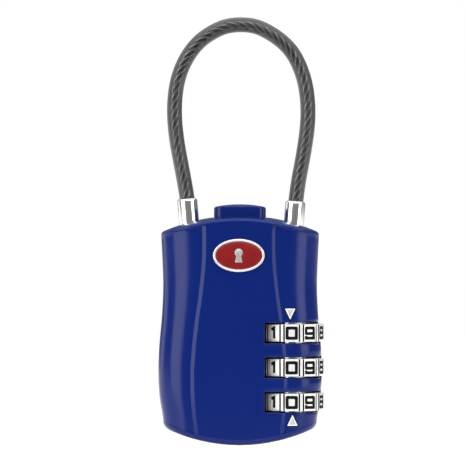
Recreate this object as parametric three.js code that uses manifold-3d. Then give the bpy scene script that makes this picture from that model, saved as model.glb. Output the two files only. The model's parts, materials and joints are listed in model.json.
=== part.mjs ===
// Luggage combination padlock: a two-part die-cast case, three number dials, a push button,
// an inspection-key cylinder and a steel-cable shackle whose left end comes free.
//
// Millimetres. +X is right, +Y is the back, +Z is up. Every piece is drawn in the case's frame, whose
// zero is the lowest point of the case, and the whole lock is then moved so that the origin lies on
// the inside of the cable loop's crown, where the lock hangs.

import * as THREE from 'three';
import { mergeVertices } from 'three/addons/utils/BufferGeometryUtils.js';
import Module from 'manifold-3d';

const wasm = await Module();
wasm.setup();

// ---- Driving dimensions -------------------------------------------------------------------------

const CLEARANCE = 0.3;

// Case
const CASE_TOP = 45.94;
const TOP_RADIUS = 38.6;
const BOTTOM_RADIUS = 33.6;
const FRONT_Y = -6.9;
const BACK_Y = 6.9;
const SEAM_Y = 2.2;
const SEAM_GAP = 0.15;
const WALL = 1.6;
const SIDE_FRONT_Y = -0.5; // the side is straight in depth from here
const SIDE_BACK_Y = 2.5; // to here
const BACK_ROUND = 4.4;
const BOTTOM_CORNER = { arc: 13.6, tip: [15.3, 3.66], side: [15.42, 5.6] };
const TOP_CORNER = { arc: 14.9, tip: [15.72, 42.6], side: [15.72, 41.6] };
const BEYOND = 20; // past every side of the lock, for cutters
const LOFT_LOW = -1;
const LOFT_HIGH = 47;
const LOFT_LEVELS = 13;
const CREASE_STEP = 0.35;
const CREASE_WIDTH = 0.55;
const SIDE = [ // height, half width
  [-1, 15.0], [5.4, 15.42], [9.8, 16.1], [14.2, 16.33], [19.8, 16.14],
  [25.8, 15.6], [31.8, 15.34], [37.0, 15.5], [41.6, 15.72], [47, 15.8],
];
const CREASE = [ // height, distance of the crease from the middle
  [-1, 7.8], [2.5, 8.05], [7.5, 8.6], [12, 8.85], [17, 8.75],
  [24.5, 8.0], [31, 7.1], [38, 6.5], [47, 6.55],
];

// Dials
const DIAL_X = 10.5;
const DIAL_Y = -0.9;
const DIAL_Z = [22.55, 15.67, 8.79];
const DIAL_RADIUS = 6.3;
const DIAL_HEIGHT = 3.5;
const DIGITS = 10;
const GRIP_DEPTH = 0.35;
const GRIP_HALF_ANGLE = 0.085;
const SLOT_HEIGHT = 4.1;
const SLOT_LEFT_X = 5.1;
const SLOT_BACK_Y = 1.9;
const SLEEVE_RADIUS = 2.75;
const SLEEVE_LENGTH = 6.3;
const SPINDLE_RADIUS = 1.2;
const SPINDLE_BOTTOM = 7.2;
const SPINDLE_TOP = 32.7;
const SPINDLE_HEAD_RADIUS = 2.4;
const SPINDLE_HEAD_HEIGHT = 1.2;
const WEB_LOW = 26.1; // the web above the top dial, which carries the spindle spring
const WEB_HIGH = 27.2;
const SPINDLE_SPRING = { radius: 1.9, wire: 0.18, turns: 3, high: 31.3 };
const SLEEVE_BORE_LOW = 5.3;
const GATE_HALF_WIDTH = 0.5;
const GATE_DEPTH = 2.3;
const RESET_BORE = { radius: 2, low: 2.9, high: 5.4 };
const RESET_PIN = [[0, 2.3], [1.2, 2.3], [1.2, 3.2], [1.7, 3.2], [1.7, 3.9], [0, 3.9]];
const LEAF = { gap: 0.85, front: -2.6, back: 5, low: 6.4, high: 26 };
const BUMP_RADIUS = 0.35;

// Push button and release slider
const BUTTON_WIDTH = 10.3;
const BUTTON_DEPTH = 6.2;
const BUTTON_CORNER = 1.8;
const BUTTON_TOP = 48.16;
const BUTTON_CROWN_RADIUS = 24;
const FLANGE_LOW = 42.6;
const FLANGE_HIGH = 43.7;
const FLANGE_LIP = 0.65;
const MOUTH_LOW = 43;
const POCKET_LOW = 39.6;
const BRIDGE_LOW = 41.3;
const BRIDGE_HIGH = 42.3;
const WEDGE_SLOPE = 1.1; // latch travel over button travel
const WEDGE_WIDTH = 1.2;
const WEDGE_X = -2.6; // middle of the wedge at the height of the latch
const WEDGE_LOW = 36.8;
const BUTTON_SPRING_X = 3.2;
const BUTTON_SPRING_Y = 2.9;
const SHELF_TOP = 36.4;
const BUTTON_SPRING = { radius: 0.7, wire: 0.17, turns: 5, low: 36.6, high: 42.3 };
const WEDGE_HALF_DEPTH = 0.7;
const SLIDER_LOW = 33;
const SLIDER_FRONT = -4.6;
const COLUMN = { left: 0.5, right: 4.1, back: -2.8 };
const ARM = { right: 9.8, front: -4.2, high: 35.2 };
const FOOT = { left: 8.4, right: 12, front: -3, back: 0.6, high: 34.2 };

// Latch bolt
const LATCH_TIP_X = -7.95;
const LATCH_END_X = 0.3;
const LATCH_LOW = 36.9;
const LATCH_HIGH = 39.0;
const LATCH_HALF_DEPTH = 1.7;
const LUG = { left: -1.5, right: -0.3, front: 1, back: 2.9 };
const LATCH_SPRING = { radius: 0.75, wire: 0.17, turns: 3, length: 3.4 };
const MECHANISM_RIGHT_X = 4.4;
const ROOM = {
  left: -13.6,
  lowRoom: { low: 4.6, high: 35 },
  highRoom: { left: -7, front: -5, back: 4.6, low: 34 },
  armRoom: { left: 4.3, right: 13.4, high: 35.6 },
  shelfRoom: { left: 1.9, right: 5, front: 1.5, thickness: 2 },
};

// Ferrules: where each axis leaves the case, its lean outward, and how far it stands out
const FERRULE_RADIUS = 2.0;
const NECK_RADIUS = 1.25;
const FREE = { x: -10.19, z: 44.73, lean: -0.0873, out: 4.55 };
const FIXED = { x: 10.77, z: 44.47, lean: 0.082, out: 4.3 };
const MOUTH_RADIUS = 1.75;
const MOUTH_CHAMFER = 0.25;
const FREE_TIP = [[0, -12.1], [1.3, -12.1], [1.95, -11.4], [1.95, -10.7]];
const FREE_NECK = [-9.3, -5.2];
const FREE_BORE_DEPTH = 12.6;
const FIXED_FOOT = -6.6;
const FIXED_BORE_DEPTH = 7;
const LATCH_WAY = { left: -9.6, right: -6.9, halfDepth: 2 };
const CABLE_HOLE_RADIUS = 1.25;
const CABLE_HOLE_DEPTH = 3.2;
const CLIP_THICKNESS = 0.8;
const CLIP_DEPTH = 3.7; // below the case's mouth, to the middle of the clip
const CLIP_HALF_WIDTH = 2.8;
const CLIP_SLOT_HALF_WIDTH = 3.2;
const CLIP_SLOT_HALF_HEIGHT = 0.7;

// Cable: the middle line from the free ferrule over the crown to the fixed one, as x and height
const CORE_RADIUS = 0.95;
const JACKET_RADIUS = 1.5;
const JACKET_BORE = 1.25;
const CABLE_ROUTE = [
  [-10.33, 46.4], [-10.6, 49.4], [-11.2, 53.0], [-11.8, 56.2], [-12.4, 59.4], [-12.85, 62.6],
  [-13.1, 66.0], [-13.0, 69.6], [-12.45, 73.0], [-11.35, 76.1], [-9.9, 78.6], [-8.0, 80.8],
  [-5.6, 82.5], [-2.9, 83.7], [0.1, 84.07], [3.2, 83.7], [6.0, 82.4], [8.5, 80.6],
  [10.35, 78.6], [11.75, 76.1], [12.85, 73.0], [13.45, 69.6], [13.6, 66.0], [13.35, 62.6],
  [12.9, 59.4], [12.35, 56.2], [11.75, 53.0], [11.18, 48.9], [10.95, 45.9],
];
const LOOP_CROWN = 82.57; // inside of the loop's crown, which is the lock's origin

// Key cylinder
const KEY_X = -4.0;
const BARREL_RADIUS = 3.3;
const BARREL_BORE = 2.6;
const PLUG_RADIUS = 2.3;
const BARREL_LOW = 0.9;
const BARREL_HIGH = 10.2;
const WAFER_Z = [3.2, 4.9, 6.6, 8.3];
const KEYWAY = { halfWidth: 0.45, halfDepth: 1.6, end: 0.8 };
const CHAMBER = { halfWidth: 1.3, halfHeight: 0.55 };
const WAFER = { halfWidth: 1, halfDepth: 2, halfHeight: 0.25, window: 1 };
const CAM_RADIUS = 2.2;
const CAM_THICKNESS = 1;
const CRANK_PIN_RADIUS = 0.5;
const CRANK_TOP = 13.8;
const KEY_BOSS_RADIUS = 4.9;
const CRANK_RADIUS = 1.6;
const LINK_TOP = 39.0;
const LINK_LOW = 12.2;
const LINK_LEFT = -6.2;
const LINK_BACK = 4;
const LINK_BAR = { right: -4.8, front: 2.6 };
const LINK_FOOT = { right: -1.9, front: -1.2, high: 13.2 };
const LINK_FINGER = { right: -3.4, front: 2.1, low: 37.2 };
const LINK_SLOT = { left: 0.8, right: 1.2, front: -0.8, back: 2.4 };

// Case pins, as x and height
const CASE_PINS = [[-10.4, 8.5], [-10.4, 27.0], [-0.5, 28.5], [1.9, 4.0]];
const PIN_RADIUS = 0.8;
const PIN_HEAD_RADIUS = 1.4;
const PIN_FRONT = -3.5;
const PIN_HEAD = { front: 0.7, back: 0.1 }; // below the case's back
const PIN_BOSS_RADIUS = 2;

// Badge and index marks
const BADGE_Z = 37.96;
const BADGE_HALF_WIDTH = 5.15;
const BADGE_HALF_HEIGHT = 3.3;
const BADGE_RIM = 0.6;
const BADGE_THICKNESS = 0.45;
const BADGE_FIELD = 0.2;
const SIGN_BACK = 0.1;
const ENAMEL_THICKNESS = 0.12;
const ENAMEL_GAP = 0.1;
const SIGN = { radius: 0.75, lift: 0.55, foot: 1.35, halfFoot: 0.72 };
const SURFACE_GAP = 0.05;
const INDEX_MARKS = [
  { name: 'index_mark_upper', x: 10.2, z: 26.3, up: -1 },
  { name: 'index_mark_lower', x: 10.65, z: 5.25, up: 1 },
];
const INDEX_HALF_WIDTH = 1.1;
const INDEX_HEIGHT = 2.3;
const INDEX_TURN = 0.25; // follows the wing's slope
const INDEX_THICKNESS = 0.5;
const INDEX_POCKET = { grow: 0.2, depth: 0.75 };

// ---- Shape helpers ------------------------------------------------------------------------------

// Reads a smooth value at height z from a list of [height, value] pairs.
function along(list, z) {
  let i = 1;
  while (i < list.length - 2 && list[i + 1][0] < z) i += 1;
  if (z < list[1][0]) i = 0;
  const slope = (k) => {
    const a = list[Math.max(k - 1, 0)];
    const b = list[Math.min(k + 1, list.length - 1)];
    return (b[1] - a[1]) / (b[0] - a[0]);
  };
  const span = list[i + 1][0] - list[i][0];
  const t = (z - list[i][0]) / span;
  const rise = list[i + 1][1] - list[i][1];
  const m0 = slope(i) * span;
  const m1 = slope(i + 1) * span;
  return list[i][1] + t * (m0 + t * (3 * rise - 2 * m0 - m1 + t * (m0 + m1 - 2 * rise)));
}

function toSolid(geometry) {
  const bare = geometry.clone();
  bare.deleteAttribute('normal');
  bare.deleteAttribute('uv');
  const merged = mergeVertices(bare, 1e-4);
  const solid = new wasm.Manifold(new wasm.Mesh({
    numProp: 3,
    vertProperties: new Float32Array(merged.attributes.position.array),
    triVerts: new Uint32Array(merged.index.array),
  }));
  return solid;
}

function toGeometry(solid) {
  const mesh = solid.getMesh();
  const geometry = new THREE.BufferGeometry();
  geometry.setAttribute('position', new THREE.BufferAttribute(mesh.vertProperties, 3));
  geometry.setIndex(new THREE.BufferAttribute(mesh.triVerts, 1));
  geometry.computeVertexNormals();
  return geometry;
}

function box(x0, x1, y0, y1, z0, z1) {
  const geometry = new THREE.BoxGeometry(x1 - x0, y1 - y0, z1 - z0);
  return toSolid(geometry.translate((x0 + x1) / 2, (y0 + y1) / 2, (z0 + z1) / 2));
}

// A round rod along Z.
function rod(radius, x, y, z0, z1, sides = 24) {
  const geometry = new THREE.CylinderGeometry(radius, radius, z1 - z0, sides).rotateX(Math.PI / 2);
  return toSolid(geometry.translate(x, y, (z0 + z1) / 2));
}

// A round rod along Y.
function crossRod(radius, x, z, y0, y1, sides = 16) {
  const geometry = new THREE.CylinderGeometry(radius, radius, y1 - y0, sides);
  return toSolid(geometry.translate(x, (y0 + y1) / 2, z));
}

// A flat shape drawn in X and Z, made solid from y0 to y1.
function frontPlate(shape, y0, y1, curveSegments = 10) {
  const geometry = new THREE.ExtrudeGeometry(shape, {
    depth: y1 - y0, bevelEnabled: false, curveSegments,
  });
  return geometry.rotateX(Math.PI / 2).translate(0, y1, 0);
}

// A solid of revolution about Z from [radius, height] points that start and end on the axis.
function turned(profile, sides = 20) {
  const points = profile.map(([r, z]) => new THREE.Vector2(r, z));
  return toSolid(new THREE.LatheGeometry(points, sides).rotateX(Math.PI / 2));
}

function union(solids) {
  return solids.reduce((sum, solid) => sum.add(solid));
}

function cut(solid, cutters) {
  return cutters.reduce((left, cutter) => left.subtract(cutter), solid);
}

function roundedRectangle(width, depth, radius) {
  const x = width / 2;
  const y = depth / 2;
  const shape = new THREE.Shape();
  shape.moveTo(radius - x, -y);
  shape.lineTo(x - radius, -y);
  shape.absarc(x - radius, radius - y, radius, -Math.PI / 2, 0);
  shape.absarc(x - radius, y - radius, radius, 0, Math.PI / 2);
  shape.absarc(radius - x, y - radius, radius, Math.PI / 2, Math.PI);
  shape.absarc(radius - x, radius - y, radius, Math.PI, Math.PI * 1.5);
  return shape;
}

// A rounded rectangle in X and Y, made solid from z0 to z1.
function roundedBlock(width, depth, radius, z0, z1) {
  const shape = roundedRectangle(width, depth, radius);
  const geometry = new THREE.ExtrudeGeometry(shape, {
    depth: z1 - z0, bevelEnabled: false, curveSegments: 6,
  });
  return toSolid(geometry.translate(0, 0, z0));
}

// A wire spring along Z, from z0 to z1.
function coilSpring({ radius, wire, turns }, z0, z1) {
  class Helix extends THREE.Curve {
    getPoint(t, target = new THREE.Vector3()) {
      const angle = t * turns * Math.PI * 2;
      const rise = (z1 - z0 - 2 * wire) * t;
      return target.set(Math.cos(angle) * radius, Math.sin(angle) * radius, z0 + wire + rise);
    }
  }
  const section = new THREE.Shape();
  section.absarc(0, 0, wire, 0, Math.PI * 2);
  return new THREE.ExtrudeGeometry(section, {
    steps: turns * 10, curveSegments: 2, bevelEnabled: false, extrudePath: new Helix(),
  });
}

// ---- Case body ----------------------------------------------------------------------------------

// One horizontal section of the case at height z, from the middle of the front round by the right.
function caseSection(z, inset) {
  const half = along(SIDE, z) - inset;
  const crease = along(CREASE, z);
  const front = FRONT_Y + inset;
  const back = BACK_Y - inset;
  const wingX = crease + CREASE_WIDTH;
  const wingY = front + CREASE_STEP;
  const right = [[crease, front]];
  for (let k = 0; k <= 6; k += 1) {
    const a = (k / 6) * (Math.PI / 2);
    right.push([
      wingX + (half - wingX) * Math.sin(a),
      SIDE_FRONT_Y + (wingY - SIDE_FRONT_Y) * Math.cos(a),
    ]);
  }
  for (let k = 0; k <= 4; k += 1) {
    const a = (k / 4) * (Math.PI / 2);
    right.push([
      half - BACK_ROUND * (1 - Math.cos(a)),
      SIDE_BACK_Y + (back - SIDE_BACK_Y) * Math.sin(a),
    ]);
  }
  const left = right.map(([x, y]) => [-x, y]).reverse();
  return [...right, ...left];
}

// The case's body of stacked sections, before its top and bottom are cut to their arcs.
function caseLoft(inset) {
  const rise = (LOFT_HIGH - LOFT_LOW) / (LOFT_LEVELS - 1);
  const levels = Array.from({ length: LOFT_LEVELS }, (_, i) => LOFT_LOW + i * rise);
  const rings = levels.map((z) => caseSection(z, inset).map(([x, y]) => [x, y, z]));
  const count = rings[0].length;
  const positions = rings.flat();
  const faces = [];
  for (let r = 0; r + 1 < rings.length; r += 1) {
    for (let i = 0; i < count; i += 1) {
      const a = r * count + i;
      const b = r * count + ((i + 1) % count);
      faces.push([a, b, b + count], [a, b + count, a + count]);
    }
  }
  const bottom = positions.push([0, 0, levels[0]]) - 1;
  const top = positions.push([0, 0, levels[levels.length - 1]]) - 1;
  const last = (rings.length - 1) * count;
  for (let i = 0; i < count; i += 1) {
    const next = (i + 1) % count;
    faces.push([bottom, next, i], [top, last + i, last + next]);
  }
  const geometry = new THREE.BufferGeometry();
  geometry.setAttribute('position', new THREE.Float32BufferAttribute(positions.flat(), 3));
  geometry.setIndex(faces.flat());
  return toSolid(geometry);
}

// The front outline: a top and a bottom arc joined by rounded corners. Its sides lie outside the
// loft, which sets them.
function caseOutline() {
  const shape = new THREE.Shape();
  const bottomAngle = Math.asin(BOTTOM_CORNER.arc / BOTTOM_RADIUS);
  const topAngle = Math.asin(TOP_CORNER.arc / TOP_RADIUS);
  const half = Math.PI / 2;
  const topCentre = CASE_TOP - TOP_RADIUS;
  const topZ = topCentre + TOP_RADIUS * Math.cos(topAngle);
  const bottomZ = BOTTOM_RADIUS * (1 - Math.cos(bottomAngle));
  const [bottomTipX, bottomTipZ] = BOTTOM_CORNER.tip;
  const [bottomSideX, bottomSideZ] = BOTTOM_CORNER.side;
  const [topTipX, topTipZ] = TOP_CORNER.tip;
  const [topSideX, topSideZ] = TOP_CORNER.side;
  shape.absarc(0, BOTTOM_RADIUS, BOTTOM_RADIUS, -half - bottomAngle, -half + bottomAngle);
  shape.quadraticCurveTo(bottomTipX, bottomTipZ, bottomSideX, bottomSideZ);
  shape.lineTo(BEYOND, bottomSideZ + 1);
  shape.lineTo(BEYOND, topSideZ - 1);
  shape.lineTo(topSideX, topSideZ);
  shape.quadraticCurveTo(topTipX, topTipZ, TOP_CORNER.arc, topZ);
  shape.absarc(0, topCentre, TOP_RADIUS, half - topAngle, half + topAngle);
  shape.quadraticCurveTo(-topTipX, topTipZ, -topSideX, topSideZ);
  shape.lineTo(-BEYOND, topSideZ - 1);
  shape.lineTo(-BEYOND, bottomSideZ + 1);
  shape.lineTo(-bottomSideX, bottomSideZ);
  shape.quadraticCurveTo(-bottomTipX, bottomTipZ, -BOTTOM_CORNER.arc, bottomZ);
  return toSolid(frontPlate(shape, -BEYOND, BEYOND, 14));
}

// Carries a solid drawn along Z, with its zero at the case's mouth, onto a ferrule's axis.
function onFerrule(solid, ferrule) {
  const place = new THREE.Matrix4().makeRotationY(ferrule.lean);
  place.setPosition(ferrule.x, 0, ferrule.z);
  return solid.transform(place.elements);
}

// The room inside the case for the slider, latch, springs, link and key cam.
function mechanismSpace() {
  const inside = caseLoft(WALL);
  const { left, lowRoom, highRoom, armRoom, shelfRoom } = ROOM;
  const lowest = box(left, MECHANISM_RIGHT_X, -BEYOND, BEYOND, lowRoom.low, lowRoom.high);
  const lower = inside.intersect(lowest);
  const upper = box(
    highRoom.left, MECHANISM_RIGHT_X, highRoom.front, highRoom.back,
    highRoom.low, BRIDGE_HIGH + CLEARANCE,
  );
  const armWay = box(armRoom.left, armRoom.right, -BEYOND, BEYOND, WEB_HIGH, armRoom.high);
  const arm = inside.intersect(armWay);
  const keyBoss = rod(KEY_BOSS_RADIUS, KEY_X, 0, 0, BARREL_HIGH + 0.1);
  const shelf = box(
    shelfRoom.left, shelfRoom.right, shelfRoom.front, BEYOND,
    SHELF_TOP - shelfRoom.thickness, SHELF_TOP,
  );
  const pinBosses = CASE_PINS.map(([x, z]) => crossRod(PIN_BOSS_RADIUS, x, z, -BEYOND, BEYOND));
  return cut(union([lower, upper, arm]), [keyBoss, shelf, ...pinBosses]);
}

// Slots, pockets and bores for the dials, their sleeves, the spindle and the reset pin.
function dialSpace() {
  const cutters = DIAL_Z.flatMap((z) => {
    const low = z - SLOT_HEIGHT / 2;
    const high = z + SLOT_HEIGHT / 2;
    return [
      rod(DIAL_RADIUS + CLEARANCE, DIAL_X, DIAL_Y, low, high, 36),
      box(SLOT_LEFT_X, BEYOND, -BEYOND, DIAL_Y, low, high),
      box(DIAL_X, BEYOND, DIAL_Y - 1, SLOT_BACK_Y, low, high),
    ];
  });
  return union([
    ...cutters,
    rod(SLEEVE_RADIUS + CLEARANCE, DIAL_X, DIAL_Y, SLEEVE_BORE_LOW, WEB_LOW),
    rod(SPINDLE_RADIUS + CLEARANCE, DIAL_X, DIAL_Y, 0, WEB_HIGH + 1),
    rod(RESET_BORE.radius, DIAL_X, DIAL_Y, RESET_BORE.low, RESET_BORE.high),
  ]);
}

function shackleSpace() {
  const radius = FERRULE_RADIUS + CLEARANCE;
  const freeBore = rod(radius, 0, 0, -FREE_BORE_DEPTH, BEYOND);
  const latchWay = box(
    LATCH_WAY.left, LATCH_WAY.right, -LATCH_WAY.halfDepth, LATCH_WAY.halfDepth,
    LATCH_LOW - CLEARANCE, LATCH_HIGH + CLEARANCE,
  );
  const fixedBore = rod(radius, 0, 0, -FIXED_BORE_DEPTH, BEYOND);
  const clipSlot = box(
    -CLIP_SLOT_HALF_WIDTH, CLIP_SLOT_HALF_WIDTH, -CLIP_SLOT_HALF_WIDTH, CLIP_SLOT_HALF_WIDTH,
    -CLIP_DEPTH - CLIP_SLOT_HALF_HEIGHT, -CLIP_DEPTH + CLIP_SLOT_HALF_HEIGHT,
  );
  return union([
    onFerrule(freeBore, FREE),
    latchWay,
    onFerrule(fixedBore.add(clipSlot), FIXED),
  ]);
}

function buttonSpace() {
  const grow = 2 * CLEARANCE;
  const lip = 2 * FLANGE_LIP + grow;
  const corner = BUTTON_CORNER + CLEARANCE;
  const mouth = roundedBlock(
    BUTTON_WIDTH + grow, BUTTON_DEPTH + grow, corner, MOUTH_LOW, CASE_TOP + BEYOND,
  );
  const pocket = roundedBlock(
    BUTTON_WIDTH + lip, BUTTON_DEPTH + lip, corner, POCKET_LOW, FLANGE_HIGH + CLEARANCE,
  );
  return mouth.add(pocket);
}

function pinSpace() {
  return union(CASE_PINS.flatMap(([x, z]) => [
    crossRod(PIN_RADIUS + CLEARANCE, x, z, PIN_FRONT - CLEARANCE, BEYOND),
    crossRod(PIN_HEAD_RADIUS + CLEARANCE, x, z, BACK_Y - PIN_HEAD.front - CLEARANCE, BEYOND),
  ]));
}

// ---- Small outer pieces -------------------------------------------------------------------------

// A triangle whose tip points up or down, let into the wing beside the dials. grow widens it, for
// the pocket that it sits in.
function indexTriangle(mark, grow, front, back) {
  const shape = new THREE.Shape();
  const half = INDEX_HALF_WIDTH + 1.6 * grow;
  const base = -mark.up * (INDEX_HEIGHT / 2 + grow);
  const tip = mark.up * (INDEX_HEIGHT / 2 + 2.2 * grow);
  shape.moveTo(-half, base);
  shape.lineTo(half, base);
  shape.lineTo(0, tip);
  shape.closePath();
  const depth = wingDepth(mark.x, mark.z);
  const place = new THREE.Matrix4().makeRotationZ(INDEX_TURN);
  place.setPosition(mark.x, depth, mark.z);
  return toSolid(frontPlate(shape, front, back)).transform(place.elements);
}

// How far forward the front wing's surface is at a point beside the centre panel.
function wingDepth(x, z) {
  const half = along(SIDE, z);
  const wingX = along(CREASE, z) + CREASE_WIDTH;
  const sine = (x - wingX) / (half - wingX);
  return SIDE_FRONT_Y + (FRONT_Y + CREASE_STEP - SIDE_FRONT_Y) * Math.sqrt(1 - sine * sine);
}

function ovalShape(halfWidth, halfHeight) {
  const shape = new THREE.Shape();
  shape.absellipse(0, BADGE_Z, halfWidth, halfHeight, 0, Math.PI * 2);
  return shape;
}

// The plain keyhole sign in the middle of the badge.
function keyholeSign(grow) {
  const shape = new THREE.Shape();
  const radius = SIGN.radius + grow;
  const foot = BADGE_Z - SIGN.foot - grow;
  shape.absarc(0, BADGE_Z + SIGN.lift, radius, -Math.PI * 0.3, Math.PI * 1.3);
  shape.lineTo(-SIGN.halfFoot - grow, foot);
  shape.lineTo(SIGN.halfFoot + grow, foot);
  shape.closePath();
  return shape;
}

function badgePlateSolid() {
  const back = FRONT_Y - SURFACE_GAP;
  const front = back - BADGE_THICKNESS;
  const inner = ovalShape(BADGE_HALF_WIDTH - BADGE_RIM, BADGE_HALF_HEIGHT - BADGE_RIM);
  const plate = toSolid(frontPlate(ovalShape(BADGE_HALF_WIDTH, BADGE_HALF_HEIGHT), front, back));
  const field = toSolid(frontPlate(inner, front - 1, back - BADGE_FIELD));
  const sign = toSolid(frontPlate(keyholeSign(0), front, back - SIGN_BACK));
  return plate.subtract(field).add(sign);
}

function badgeEnamelSolid() {
  const back = FRONT_Y - SURFACE_GAP - BADGE_FIELD - SURFACE_GAP;
  const rim = BADGE_RIM + ENAMEL_GAP;
  const inner = ovalShape(BADGE_HALF_WIDTH - rim, BADGE_HALF_HEIGHT - rim);
  const field = toSolid(frontPlate(inner, back - ENAMEL_THICKNESS, back));
  return field.subtract(toSolid(frontPlate(keyholeSign(ENAMEL_GAP), back - 1, back + 1)));
}

// ---- Case halves --------------------------------------------------------------------------------

const keyBore = rod(BARREL_RADIUS + CLEARANCE, KEY_X, 0, -1, BARREL_HIGH + CLEARANCE);
const indexPockets = INDEX_MARKS.map(
  (mark) => indexTriangle(mark, INDEX_POCKET.grow, -2, INDEX_POCKET.depth),
);
const caseBody = cut(caseLoft(0).intersect(caseOutline()), [
  mechanismSpace(), dialSpace(), shackleSpace(), buttonSpace(), pinSpace(), keyBore, ...indexPockets,
]);
const seamFront = SEAM_Y - SEAM_GAP / 2;
const seamBack = SEAM_Y + SEAM_GAP / 2;
const halfRoom = (y0, y1) => box(-BEYOND, BEYOND, y0, y1, -BEYOND, CASE_TOP + BEYOND);
const frontCase = caseBody.intersect(halfRoom(-BEYOND, seamFront));
const rearCase = caseBody.intersect(halfRoom(seamBack, BEYOND));

// ---- Dials, sleeves and spindle -----------------------------------------------------------------

// A dial's outline has ten number faces parted by grip grooves. The face at the front is one of them.
function dialGeometry() {
  const shape = new THREE.Shape();
  const step = (Math.PI * 2) / DIGITS;
  const point = (radius, angle) => [Math.cos(angle) * radius, Math.sin(angle) * radius];
  for (let i = 0; i < DIGITS; i += 1) {
    const groove = i * step;
    const rim = [GRIP_HALF_ANGLE, step / 2, step - GRIP_HALF_ANGLE].map((a) => groove + a);
    const deep = DIAL_RADIUS - GRIP_DEPTH;
    const corners = [point(deep, groove), ...rim.map((a) => point(DIAL_RADIUS, a))];
    corners.forEach(([x, y], k) => (i + k ? shape.lineTo(x, y) : shape.moveTo(x, y)));
  }
  const bore = new THREE.Path();
  bore.absarc(0, 0, SLEEVE_RADIUS + CLEARANCE, 0, Math.PI * 2, true);
  shape.holes.push(bore);
  return new THREE.ExtrudeGeometry(shape, {
    depth: DIAL_HEIGHT, bevelEnabled: false, curveSegments: 12,
  }).translate(0, 0, -DIAL_HEIGHT / 2);
}

function sleeveSolid() {
  const half = SLEEVE_LENGTH / 2;
  const bore = rod(SPINDLE_RADIUS + CLEARANCE, 0, 0, -half - 1, half + 1, 20);
  const gate = box(0, GATE_DEPTH, -GATE_HALF_WIDTH, GATE_HALF_WIDTH, -half - 1, half + 1);
  return cut(rod(SLEEVE_RADIUS, 0, 0, -half, half, 24), [bore, gate]);
}

function spindleSolid() {
  const shaft = rod(SPINDLE_RADIUS, 0, 0, SPINDLE_BOTTOM, SPINDLE_TOP, 20);
  const head = rod(SPINDLE_HEAD_RADIUS, 0, 0, SPINDLE_TOP - SPINDLE_HEAD_HEIGHT, SPINDLE_TOP, 24);
  return shaft.add(head);
}

// The leaf that clicks into the dials: a thin plate with one bump beside each dial.
function detentSolid() {
  const left = DIAL_X - DIAL_RADIUS - LEAF.gap;
  const leaf = box(left, left + CLEARANCE, LEAF.front, LEAF.back, LEAF.low, LEAF.high);
  const bumps = DIAL_Z.map((z) => rod(BUMP_RADIUS, left + 0.25, DIAL_Y, z - 1, z + 1, 12));
  return union([leaf, ...bumps]);
}

// ---- Button, slider and latch -------------------------------------------------------------------

function buttonSolid() {
  const lip = 2 * FLANGE_LIP;
  const cap = roundedBlock(BUTTON_WIDTH, BUTTON_DEPTH, BUTTON_CORNER, FLANGE_LOW, BUTTON_TOP + 1);
  const flange = roundedBlock(
    BUTTON_WIDTH + lip, BUTTON_DEPTH + lip, BUTTON_CORNER, FLANGE_LOW, FLANGE_HIGH,
  );
  const crown = crossRod(BUTTON_CROWN_RADIUS, 0, BUTTON_TOP - BUTTON_CROWN_RADIUS, -5, 5, 120);
  return cap.intersect(crown).add(flange);
}

// A bar that leans to the right as it rises, as wide as width along X.
function leaningBar(width, halfDepth, z0, z1) {
  const middle = (LATCH_LOW + LATCH_HIGH) / 2;
  const at = (z) => WEDGE_X + WEDGE_SLOPE * (z - middle);
  const shape = new THREE.Shape();
  shape.moveTo(at(z0) - width / 2, z0);
  shape.lineTo(at(z0) + width / 2, z0);
  shape.lineTo(at(z1) + width / 2, z1);
  shape.lineTo(at(z1) - width / 2, z1);
  shape.closePath();
  return toSolid(frontPlate(shape, -halfDepth, halfDepth));
}

function sliderSolid() {
  const { left, right, back } = COLUMN;
  const wedge = leaningBar(WEDGE_WIDTH, WEDGE_HALF_DEPTH, WEDGE_LOW, BRIDGE_LOW + 0.2);
  const bridge = box(0, right, SLIDER_FRONT, WEDGE_HALF_DEPTH, BRIDGE_LOW, BRIDGE_HIGH);
  const column = box(left, right, SLIDER_FRONT, back, SLIDER_LOW, BRIDGE_HIGH);
  const arm = box(left, ARM.right, ARM.front, back, SLIDER_LOW, ARM.high);
  const foot = box(FOOT.left, FOOT.right, FOOT.front, FOOT.back, SLIDER_LOW, FOOT.high);
  return union([wedge, bridge, column, arm, foot]);
}

function latchSolid() {
  const bar = box(
    LATCH_TIP_X, LATCH_END_X, -LATCH_HALF_DEPTH, LATCH_HALF_DEPTH, LATCH_LOW, LATCH_HIGH,
  );
  const window = leaningBar(WEDGE_WIDTH + 2 * CLEARANCE, 1, LATCH_LOW - 1, LATCH_HIGH + 1);
  const lug = box(LUG.left, LUG.right, LUG.front, LUG.back, LATCH_LOW, LATCH_HIGH);
  return bar.subtract(window).add(lug);
}

// ---- Ferrules and clip --------------------------------------------------------------------------

// Both ferrules are drawn along Z with their zero at the case's mouth.
function ferruleSolid(foot, out) {
  const body = turned([
    ...foot, [FERRULE_RADIUS, out - MOUTH_CHAMFER], [MOUTH_RADIUS, out], [0, out],
  ]);
  return body.subtract(rod(CABLE_HOLE_RADIUS, 0, 0, out - CABLE_HOLE_DEPTH, out + 1, 20));
}

function freeFerruleSolid() {
  const neck = FREE_NECK.map((z) => [NECK_RADIUS, z]);
  return ferruleSolid([...FREE_TIP, ...neck, [FERRULE_RADIUS, FREE_NECK[1]]], FREE.out);
}

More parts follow.
